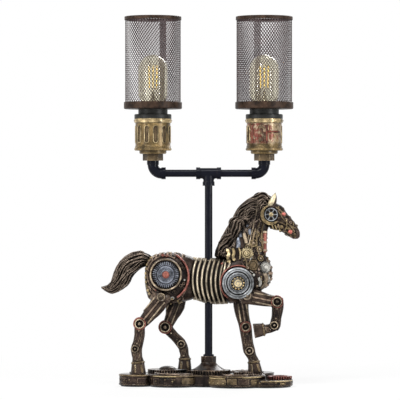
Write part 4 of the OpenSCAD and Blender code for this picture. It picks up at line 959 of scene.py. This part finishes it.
face_brass = antique("face_brass", (0.008, 0.005, 0.003), (0.1, 0.068, 0.03), (0.75, 0.57, 0.3), 0.9, 100,
                     0.32, metal=0.15, shine=0.15, crest=0.3, bare=0.12)
piece("shoulder_hubs", gold_hubs, bright_gold)
piece("withers_plates", withers_gold, old_brass)
piece("withers_ribs", withers_ribs, hoop_bronze)
piece("neck_blue_plates", blue_plates, steel_blue)
piece("neck_rosettes", rosettes, bright_gold)
piece("neck_bosses", boss_plates, plate_bronze)
piece("neck_small_gold", small_gold, old_brass)
piece("neck_small_bronze", small_dark, bronze_resin)
piece("neck_small_silver", small_silver, silver_resin)
piece("neck_small_copper", small_red, copper)
piece("neck_plates", plates, rib_bronze)
piece("neck_pipes", pipes, plate_bronze)
piece("neck_small_gears", little_gears, face_brass)
piece("neck_caps", caps, rib_bronze)
piece("breast_straps", breast, bronze_resin)


# The head: a gold crescent round the eye wheel, cheek bars, wires along the muzzle, coral-red bosses
# and pale gold ears, all cast with the head and painted.
face_gold, face_bronze, red_bosses, ears, wheel_hubs = (shape() for _ in range(5))
small_gold, small_dark, small_silver, hole_shade_discs, cheek_bars = (shape() for _ in range(5))
eye_x, eye_z = 93.5, 257
face = ((86, 132), (218, 268), lambda x, z: math.hypot(x - eye_x, z - eye_z) > 12.5)
for side in (-1, 1):
    small_machinery(small_gold, small_dark, small_silver, small_dark, side, 64, 4.2, face)
    line, size = [], []
    for k in range(41):
        a = math.radians(112 + 5 * k)
        x, z = eye_x + 13.6 * math.cos(a), eye_z + 13.6 * math.sin(a)
        line.append(Vector((x, side * max(13.2, abs(on_side(x, z, side)[0].y) + 1.6), z)))
        size.append(0.35 + 0.75 * math.sin(math.pi * k / 40) ** 0.7)
    sweep(face_gold, line, flat_bar(4.6, 1.2, 2.4), Vector((0, side, 0)), size)
    for k in range(3, 36, 4):
        dome(face_bronze, facing(line[k] + Vector((0, side * 0.9, 0)), (0, side, 0)), 0.9, 0.7)
    for points in ([(94.5, 243), (97, 236), (97.4, 230)], [(99, 242), (101.8, 236), (102, 230.5)],
                   [(103.4, 242.5), (106, 237), (106.6, 231.5)]):
        strap(cheek_bars, points, side, flat_bar(2.3, 1.7), 14)
    for points in ([(104, 262), (112, 250), (121, 241), (129, 231)],
                   [(106, 246), (114, 242), (122, 235), (130, 227)],
                   [(109, 240), (115, 233), (123, 227), (130, 223)], [(100, 268), (108, 262), (115, 254)]):
        strap(face_bronze, points, side, circle(1.1), 24, lift=0.3)
    for points in ([(116, 251), (117, 243), (114, 231)], [(126, 240), (126, 233), (122, 224)]):
        strap(face_gold, points, side, flat_bar(1.8, 1.0), 18)
    dome(face_gold, stand(109, 238.7, side), 2.9, 2.2)
    dome(face_bronze, stand(123.3, 239.4, side), 2.1, 1.6)
    for x, z in ((104, 252), (110, 247), (100, 228), (108, 230), (119, 229), (129, 237)):
        dome(face_bronze, stand(x, z, side), 1.5, 1.1)
    dome(face_gold, stand(112, 257.4, side), 4.2, 0.9)
    dome(red_bosses, stand(112, 257.4, side, lift=0.6), 3.3, 2.4)
    dome(red_bosses, stand(122.6, 231.2, side), 3.4, 2.4)
    eye = facing((eye_x, side * 11.2, eye_z), (0, side, 0))
    spun(wheel_hubs, [(3.5, 2.3), (3.5, 3.2), (2.4, 4.4), (0.1, 4.8)], eye)
    # The wheel's six holes are low discs in near-black on its face: painted shade for holes.
    first = math.radians(30)
    for (x, y), (u, v) in zip(circle(6.3, 6, first), circle(1, 6, first + 0.52)):
        spun(hole_shade_discs, [(2.0, 2.2), (2.0, 2.75), (1.7, 2.8), (0.8, 2.65), (0.1, 2.65)],
             eye @ Matrix.Translation((x, y, 0)), 14)
        sweep(small_silver, [eye @ Vector((u * r, v * r, 2.5)) for r in (3, 5, 7, 9)], flat_bar(1.4, 0.8),
              Vector((0, side, 0)))
    ring_on(small_silver, eye, 9.3, 2.5, circle(0.8, 6), 36)
    line = flow([(90.5, side * 7.5, 269), (94, side * 8.3, 276), (97.6, side * 8.2, 283),
                 (100.4, side * 7.2, 289.5)], 16)
    leaf = [(-3.6, 0.3), (-2.0, 1.7), (0, 2.2), (2.0, 1.7), (3.6, 0.3), (3.7, -1.2), (1.9, 0.1), (0, 0.6),
            (-1.9, 0.1), (-3.7, -1.2)]
    sweep(ears, line, leaf, Vector((-0.25, side, 0)),
          [max(0.05, 1.1 * math.sin(math.pi * min(1, 0.28 + 0.72 * k / 15)) ** 0.8) for k in range(16)])
pale_gold = antique("pale_gold", (0.06, 0.045, 0.025), (0.42, 0.34, 0.2), (0.9, 0.83, 0.64), 0.8, 120, 0.32,
                    metal=0.25, shine=0.3)
coral = antique("coral", (0.12, 0.012, 0.01), (0.5, 0.09, 0.06), (0.8, 0.36, 0.28), 0.6, 200, 0.28, coat=0.2)
piece("face_small_gold", small_gold, face_brass)
piece("face_small_bronze", small_dark, bronze_resin)
piece("face_small_silver", small_silver, disc_steel)
piece("eye_wheel_hole_shades", hole_shade_discs, black_paint_and_shade)
piece("face_gold", face_gold, face_brass)
piece("cheek_bars", cheek_bars, old_brass)
piece("face_bars", face_bronze, plate_bronze)
piece("red_bosses", red_bosses, coral)
piece("ears", ears, pale_gold)
piece("eye_hubs", wheel_hubs, bright_gold)


# The mane and tail: long cast locks, each of two ridged strands, over a plain mass that is near-black,
# painted shade in the gaps between the locks. The locks are dark bronze with gold rubbed along the ridges.
hair_bronze = antique("hair_bronze", (0.002, 0.0015, 0.0012), (0.012, 0.0083, 0.007), (0.8, 0.62, 0.48), 1.0,
                      100, 0.24, metal=0.08, shine=0.08, crest=0.19, bare=0.11)
dress(black_paint_and_shade, "horse_mane", "horse_tail")
for name in ("horse_mane", "horse_tail"):
    smoothed(name, 0.9, 6)


def lock(made, laid, thick, wave):
    """Ridged strands side by side along a laid line, drawn together at its end."""
    path, ways = laid
    count = len(path)
    size = [thick * max(0.1, math.sin(math.pi * min(1, 0.24 + 0.76 * k / (count - 1)))) ** 0.8
            for k in range(count)]
    for s, shift in enumerate((-0.8, 0.8) if thick > 2.3 else (-0.5, 0.5)):
        line = []
        for k, p in enumerate(path):
            along = (path[min(k + 1, count - 1)] - path[max(k - 1, 0)]).normalized()
            across = along.cross(ways[k]).normalized()
            sway = shift + 0.12 * math.sin(wave + 0.55 * k + s) + 0.35 * math.sin(wave + 0.5 * k)
            line.append(p + across * (sway * size[k]))
        sweep(made, line, ridge, ways, [max(0.3, 0.56 * w) for w in size])


def combed(upper, lower, u, s):
    """A point between two outlines: u runs along them, s across."""
    t = u * (len(upper) - 1)
    k = min(int(t), len(upper) - 2)
    a = Vector(upper[k]).lerp(Vector(upper[k + 1]), t - k)
    b = Vector(lower[k]).lerp(Vector(lower[k + 1]), t - k)
    return a.lerp(b, s)


mane_skin = skin_of("horse_mane", "horse_neck", "horse_head", "horse_forequarters")
ridge = [(-1.0, -0.8), (-0.66, 0.25), (0, 1.0), (0.66, 0.25), (1.0, -0.8)]
mane, tail = shape(), shape()
dice = random.Random(5)
full_turn = 6.28


def draped(points, skin, side, rise, steps):
    """A line through points of x, z and its outward ways, standing off the mass that carries it."""
    path, ways = [], []
    for k, p in enumerate(flow([(x, z, 0) for x, z in points], steps)):
        hit, normal = on_side(p.x, p.y, side, skin)
        if abs(hit.x - p.x) + abs(hit.z - p.y) > 0.5:
            hit, normal = Vector((p.x, 2.0 * side, p.y)), Vector((0, side, 0))
        normal = (normal + Vector((0, side, 0))).normalized()
        path.append(hit + normal * (0.3 + rise * math.sin(math.pi * min(1, 0.15 + 0.85 * k / (steps - 1)))))
        ways.append(normal)
    inner = range(1, steps - 1)
    return [path[0]] + [(path[k - 1] + 2 * path[k] + path[k + 1]) / 4 for k in inner] + [path[-1]], ways


def crested(points, skin, y, rise, steps):
    """A line through points of x, z on top of a mass, y off its middle, with its outward ways."""
    path, ways = [], []
    line = flow([(x, z, 0) for x, z in points], steps)
    for k, p in enumerate(line):
        along = (line[min(k + 1, steps - 1)] - line[max(k - 1, 0)]).normalized()
        way = Vector((-along.y, 0, along.x))
        way = way if way.z - 0.4 * way.x > 0 else -way
        hit, _, _, _ = skin.ray_cast(Vector((p.x, y, p.y)) + way * 22, -way, 40)
        if hit is not None:
            path.append(hit + way * rise)
            ways.append((way + Vector((0, 0.08 * y, 0))).normalized())
    return path, ways


mane_flow = [
    (3.3, [(91.4, 280.8), (83.3, 285.4), (73.3, 284.1), (65.2, 279.9), (61.8, 275.8)]),
    (3.6, [(90.2, 276.4), (80.8, 281.1), (71.4, 279.1), (63.3, 275.8), (56.4, 271.4)]),
    (3.4, [(79.5, 275.8), (69.5, 274.5), (59.5, 272.0), (51.0, 266.1), (45.2, 258.9), (43.0, 252.4)]),
    (3.2, [(74.5, 270.8), (64.5, 269.9), (55.2, 265.8), (48.9, 259.5), (44.8, 253.3), (42.0, 249.1)]),
    (2.8, [(72.7, 267.4), (63.3, 266.6), (55.8, 262.9), (51.4, 257.4), (48.5, 252.4), (46.0, 246.4)]),
    (2.6, [(71.4, 264.5), (62.7, 263.6), (56.4, 260.8), (54.3, 257.4), (57.3, 253.9), (64.5, 252.4),
           (69.8, 254.1)]),
    (2.6, [(85.8, 277.6), (79.5, 275.4), (75.2, 270.8), (73.3, 264.9), (74.0, 258.9)]),
    (2.4, [(87.0, 271.4), (81.4, 269.5), (78.0, 264.5), (76.8, 258.9)]),
    (2.6, [(69.5, 258.9), (62.0, 255.1), (55.8, 252.6), (50.8, 249.9), (47.0, 243.9)]),
    (3.2, [(48.9, 253.3), (42.7, 249.9), (36.4, 247.0), (33.0, 242.4), (32.3, 235.1), (29.6, 227.4)]),
    (3.4, [(49.3, 251.1), (42.7, 245.8), (38.5, 239.5), (37.0, 232.0), (34.3, 225.1), (28.6, 221.1)]),
    (3.2, [(49.8, 248.9), (44.3, 242.4), (41.8, 234.9), (39.8, 227.4), (35.5, 219.9), (29.9, 212.9),
           (25.2, 206.1)]),
    (1.9, [(49.5, 249.1), (51.0, 242.4), (54.5, 236.1), (58.0, 230.4), (61.0, 224.9)]),
    (1.9, [(50.2, 252.4), (56.4, 249.9), (61.4, 246.1), (63.9, 241.4), (66.4, 237.6)]),
    (2.0, [(46.0, 241.4), (46.0, 233.9), (43.5, 226.4), (39.8, 218.9), (38.5, 211.4), (40.8, 204.9)]),
    (3.2, [(35.8, 228.9), (28.6, 223.6), (21.8, 219.9), (17.3, 213.6), (14.3, 206.6)]),
    (3.6, [(37.0, 223.9), (30.8, 217.9), (24.3, 212.9), (19.3, 206.1), (16.1, 199.9), (11.8, 192.4)]),
    (3.4, [(39.3, 219.9), (33.3, 212.9), (27.3, 207.4), (22.3, 201.1), (18.1, 195.4), (13.6, 191.1)]),
    (2.2, [(39.8, 215.1), (35.2, 208.9), (31.4, 203.9), (26.4, 198.9), (22.1, 193.9)]),
    (2.4, [(32.3, 237.6), (29.3, 231.4), (27.7, 226.4), (23.3, 222.6), (20.2, 216.4)]),
    (2.2, [(67.0, 248.9), (64.5, 242.6), (59.5, 237.6), (54.5, 231.4), (52.0, 223.9)]),
    (2.4, [(73.3, 256.4), (70.2, 248.9), (67.7, 242.6), (64.5, 235.1)]),
]
for side in (-1, 1):
    for thick, points in mane_flow:
        lock(mane, draped(points, mane_skin, side, 1.6, 26), thick, dice.uniform(0, full_turn))
top = [(-86, 190), (-98, 199.5), (-113, 197), (-129, 185.5), (-136.5, 174), (-142.5, 161), (-150.5, 151),
       (-161, 148.4)]
under = [(-93, 181), (-101, 179), (-109.5, 170.5), (-116.5, 161.5), (-123.5, 151), (-134, 142.5),
         (-146, 138.3), (-160.5, 146.8)]
tail_skin = skin_of("horse_tail")
for side in (-1, 1):
    for row in range(4):
        for u0, reach, thick in ((0, 1, 2.6), (0.12 + 0.1 * row, 0.5, 1.5)):
            s0 = 0.12 + 0.76 * row / 3 + (0.1 if u0 else 0)
            phase = dice.uniform(0, full_turn)
            points = [combed(top, under, min(1, u0 + reach * k / 7),
                             s0 + 0.06 * math.sin(phase + 0.9 * k)) for k in range(8)]
            lock(tail, draped([(q.x, q.y) for q in points], tail_skin, side, 1.2, 30), thick, phase)
crest = [(88, 280), (78, 282), (66, 278), (54, 268), (44, 254), (36, 242), (30, 230), (22, 216), (15, 202)]
spine = [(-96, 194), (-108, 192), (-122, 182), (-131, 172), (-138, 160), (-146, 151), (-155, 148)]
for y in (-5, 0, 5):
    for made, route, skin, thick in ((mane, crest, mane_skin, 3.2), (tail, spine, tail_skin, 2.6)):
        laid = crested(route, skin, y, -0.6, 40)
        if len(laid[0]) > 6:
            lock(made, laid, thick, dice.uniform(0, full_turn))
for side in (-1, 1):
    for points in ([(24, 204), (19, 198), (15, 192), (11, 187)],
                   [(29, 202), (24, 197), (20, 191), (16.5, 186)],
                   [(33, 200), (29, 195), (26, 190), (23, 186)]):
        lock(mane, draped(points, mane_skin, side, 1.4, 16), 3.0, points[0][0])
piece("mane_locks", mane, hair_bronze)
piece("tail_locks", tail, hair_bronze)


# The lamp heads' brass: hexagonal nuts, stepped washers, cups cast with round-ended slots and a riveted
# band at the mouth. The right cup has a relief of pipe, with cream and brick-red paint worn into it, and
# painted shade darkening the middle of its front.
cup_brass = antique("cup_brass", (0.005, 0.004, 0.003), (0.064, 0.041, 0.017), (0.86, 0.6, 0.25), 0.95, 60,
                    0.3, metal=0.2, shine=0.2, crest=0.3, bare=0.15, wash=0.1)
worn_paint, fed, spot = effect("worn_paint", Under_Color=(0.1, 0.07, 0.04, 1))
tree = worn_paint
axes = place_node(tree, "SeparateXYZ", Vector=spot).outputs
field = times(tree, reckon(tree, "GREATER_THAN", axes["X"], 0.0), spread(tree, axes["Z"], 0.362, 0.366),
              spread(tree, axes["Z"], 0.3945, 0.3925))
flake = times(tree, spread(tree, noise(tree, spot, 190, 6, 0.7), 0.4, 0.52, 0, 0.85), field)
lean = spread(tree, axes["X"], 0.056, 0.112, 0.1, -0.1)
stain = reckon(tree, "ADD", noise(tree, spot, 95, 5, 0.65, 0.6), lean)
stain = times(tree, spread(tree, stain, 0.49, 0.55, 0, 0.9), field)
# A dark band down the middle of the right cup's front, the side that faces the camera: painted shade.
middle = reckon(tree, "ABSOLUTE", reckon(tree, "SUBTRACT", axes["X"], 0.0815))
patchy = spread(tree, noise(tree, spot, 130, 4, 0.6), 0.4, 0.6)
painted_middle_shade = times(tree, spread(tree, middle, 0.002, 0.009, 0.85, 0), field, patchy)
paint = fed["Under Color"]
for share, colour in ((flake, (0.37, 0.285, 0.19, 1)), (stain, (0.14, 0.026, 0.017, 1)),
                      (painted_middle_shade, (0.03, 0.014, 0.011, 1))):
    paint = mixed(tree, share, paint, colour)
gives(tree, Color=paint)
tree = cup_brass.node_tree
bare = tree.nodes["Principled BSDF"].inputs["Base Color"]
painted = place_node(tree, "Group", {"node_tree": worn_paint}, Under_Color=bare.links[0].from_socket)
tree.links.new(painted.outputs["Color"], bare)
dress(cup_brass, "cups", "step_washers")
slot_rims, relief_rims = shape(), shape()
lamp_x, cup_r, slot_low, slot_high = 83.5, 26.3, 367.75, 386.25


def slot_rim(made, x, angle, half, low_z, high_z, thick):
    """A raised edge round a round-ended slot in a cup's wall, by degrees about its axis."""
    line, ways = [], []
    for k in range(32):
        a = 2 * math.pi * k / 32
        z = (high_z if math.sin(a) >= 0 else low_z) + half * math.sin(a)
        b = math.radians(angle) + half * math.cos(a) / cup_r
        ways.append(Vector((math.cos(b), math.sin(b), 0)))
        line.append(Vector((x, 0, z)) + ways[-1] * cup_r)
    sweep(made, line, circle(thick, 6), ways, closed=True)


for k in range(8):
    slot_rim(slot_rims, -lamp_x, 160 + 30 * k, 3.5, slot_low, slot_high, 0.8)
    slot_rim(slot_rims, lamp_x, -5 + 30 * k, 3.5, slot_low, slot_high, 0.8)
slot_floors = shape()
for x, first in ((-lamp_x, 160), (lamp_x, -5)):
    for k in range(8):
        a = math.radians(first + 30 * k)
        way = Vector((math.cos(a), math.sin(a), 0))
        foot = Vector((x, 0, 0)) + way * (cup_r - 1.5)
        ends = slot_low - 3.4, slot_low, slot_high, slot_high + 3.4
        sweep(slot_floors, [foot + Vector((0, 0, z)) for z in ends], flat_bar(6.8, 0.5), way)
piece("slot_floors", slot_floors, plate_bronze)
for angle, low_z, high_z in ((243, 369, 384), (260, 369, 384), (296, 368, 376), (312, 368, 376),
                             (288, 385, 387.5)):
    slot_rim(relief_rims, lamp_x, angle, 2.9, low_z, high_z, 0.9)
piece("slot_rims", slot_rims, old_brass)
piece("cup_relief", relief_rims, cup_brass)
dress(plate_bronze, "socket_nuts")
dress(old_brass, "rivet_bands")
brick_red = antique("brick_red", (0.01, 0.004, 0.003), (0.13, 0.026, 0.017), (0.42, 0.2, 0.13), 0.7, 150,
                    0.34, shine=0.2, bare=0.1)
dress(brick_red, "cup_pipes")


# The lampholders: black phenolic bodies and shade rings with a dull gloss. The brass screw shells and
# centre contacts inside them take the bulbs' caps.
black_phenolic = use_effect(
    finish("black_phenolic", Specular_IOR_Level=0.25), enamel, bump=0.1, Deep_Color=(0.005, 0.0055, 0.005, 1),
    Pale_Color=(0.022, 0.022, 0.019, 1), Bare_Color=(0.06, 0.055, 0.045, 1), Gloss=0.42)
dress(black_phenolic, "lampholders", "left_shade_ring", "right_shade_ring")
bright_brass = antique("bright_brass", (0.2, 0.13, 0.05), (0.6, 0.45, 0.2), (0.75, 0.6, 0.3), 0.4, 120, 0.28,
                       metal=0.9)
dress(bright_brass, "screw_shells", "centre_contacts")


# The shades: rolled steel bands, browned like old rust, round an open tube of diamond wire mesh whose
# edges lap in a seam at the back. The mesh is crimped into the pan and under the top rim.
rust, fed, spot = effect("rust_bloom", Dark_Color=(0.02, 0.012, 0.009, 1), Warm_Color=(0.12, 0.06, 0.035, 1),
                         Scale=90)
cloud = noise(rust, spot, fed["Scale"], 6, 0.65)
tone = mixed(rust, spread(rust, cloud, 0.35, 0.68), fed["Dark Color"], fed["Warm Color"])
gives(rust, Color=tone, Roughness=spread(rust, cloud, 0, 1, 0.3, 0.62), Height=noise(rust, spot, 1100, 2))
rust_steel = use_effect(
    finish("rust_steel", Metallic=0.1, Specular_IOR_Level=0.12), rust, bump=0.15,
    Dark_Color=(0.007, 0.0044, 0.0034, 1), Warm_Color=(0.062, 0.036, 0.023, 1))
mesh_steel = use_effect(
    finish("mesh_steel", Metallic=0.15, Specular_IOR_Level=0.25), rust, bump=0.05,
    Dark_Color=(0.036, 0.024, 0.025, 1), Warm_Color=(0.085, 0.058, 0.058, 1), Scale=40)
shade_low, shade_high, mesh_r, wires = 417.2, 552.4, 41.5, 62
section = [(-0.42, -0.12), (0.42, -0.12), (0.42, 0.12), (-0.42, 0.12)]
for name, x, seam, start in (("left", -lamp_x, 69, 0), ("right", lamp_x, 104, 0.25)):
    dress(rust_steel, name + "_shade_pan", name + "_shade_rim")
    made = shape()
    tall = shade_high - shade_low
    turned = tall / mesh_r / 1.4
    for lean, depth in ((1, 0.0), (-1, -0.26)):
        for k in range(wires):
            line, ways = [], []
            for i in range(34):
                a = 2 * math.pi * (k + start) / wires + lean * turned * i / 33
                ways.append(Vector((math.cos(a), math.sin(a), 0)))
                line.append(Vector((x, 0, shade_low + tall * i / 33)) + ways[-1] * (mesh_r + depth))
            sweep(made, line, section, ways)
    for lean, depth in ((1, -0.6), (-1, -0.86)):
        low_a, high_a = math.radians(seam - 8), math.radians(seam + 8)
        pitch = math.pi / wires
        for k in range(-120, 120):
            line, ways = [], []
            for i in range(100):
                a = math.radians(seam) + (k + 0.5) * pitch + lean * turned * (i / 99 - 0.5)
                if low_a <= a <= high_a:
                    ways.append(Vector((math.cos(a), math.sin(a), 0)))
                    line.append(Vector((x, 0, shade_low + tall * i / 99)) + ways[-1] * (mesh_r + depth))
            if len(line) > 1:
                sweep(made, line, section, ways)
    piece(name + "_wire_mesh", made, mesh_steel, name + "_shade", (name + "_shade_mesh",))


# The bulbs: tube lamps of thin pale amber glass on a plated screw cap. Inside, a glass stem carries six
# yellow-coated light sticks between two wire rings.
cap_metal = antique("cap_metal", (0.15, 0.14, 0.12), (0.5, 0.48, 0.42), (0.7, 0.68, 0.62), 0.4, 150, 0.25,
                    metal=0.9)
# The glass gives off a faint amber light of its own: a painted glow.
bulb_glass = finish("bulb_glass", Roughness=0.02, IOR=1.45, Transmission_Weight=1.0,
                    Base_Color=(0.97, 0.955, 0.86, 1), Emission_Color=(1.0, 0.88, 0.5, 1),
                    Emission_Strength=0.025)
tree = bulb_glass.node_tree
relief = place_node(tree, "Bump", Strength=0.06, Distance=0.0005, Height=noise(tree, spot_in(tree), 45, 1))
tree.links.new(relief.outputs[0], tree.nodes["Principled BSDF"].inputs["Normal"])
light_stick = finish("light_stick", Roughness=0.5, Emission_Strength=0.8)
tree = light_stick.node_tree
amber = mixed(tree, noise(tree, spot_in(tree), 420, 1), (0.9, 0.56, 0.1, 1), (1.0, 0.76, 0.22, 1))
for socket in ("Base Color", "Emission Color"):
    tree.links.new(amber, tree.nodes["Principled BSDF"].inputs[socket])
glass_low = 423.75
for name, x in (("left", -lamp_x), ("right", lamp_x)):
    dress(cap_metal, name + "_bulb_cap")
    dress(bulb_glass, name + "_bulb_glass")
    sticks, stem = shape(), shape()
    middle = Matrix.Translation((x, 0, glass_low))
    for k in range(6):
        a = math.radians(60 * k + 33)
        foot = Vector((x + 6.2 * math.cos(a), 6.2 * math.sin(a), glass_low + 22.5))
        head = foot + Vector((0.8 * math.cos(a), 0.8 * math.sin(a), 34))
        line = [foot.lerp(head, i / 8) for i in range(9)]
        sweep(sticks, line, circle(0.62), None, [0.5] + [1] * 7 + [0.5])
    spun(stem, [(9, 0.2), (8.6, 1), (4, 6), (2.6, 13), (1.9, 18), (1.2, 20.5), (0.7, 21.5), (0.7, 58),
                (0.1, 58.6)],
         middle, 20)
    for z, r in ((22, 6.2), (57, 7.0)):
        ring = [Vector((x + u, v, glass_low + z)) for u, v in circle(r, 24)]
        sweep(stem, ring, circle(0.4, 6), Vector((0, 0, 1)), closed=True)
        for u, v in circle(r, 3):
            sweep(stem, [Vector((x, 0, glass_low + z)), Vector((x + u, v, glass_low + z))], circle(0.35, 6))
    piece(name + "_light_sticks", sticks, light_stick, name + "_bulb", (name + "_filament",))
    piece(name + "_bulb_stem", stem, cap_metal, name + "_bulb")
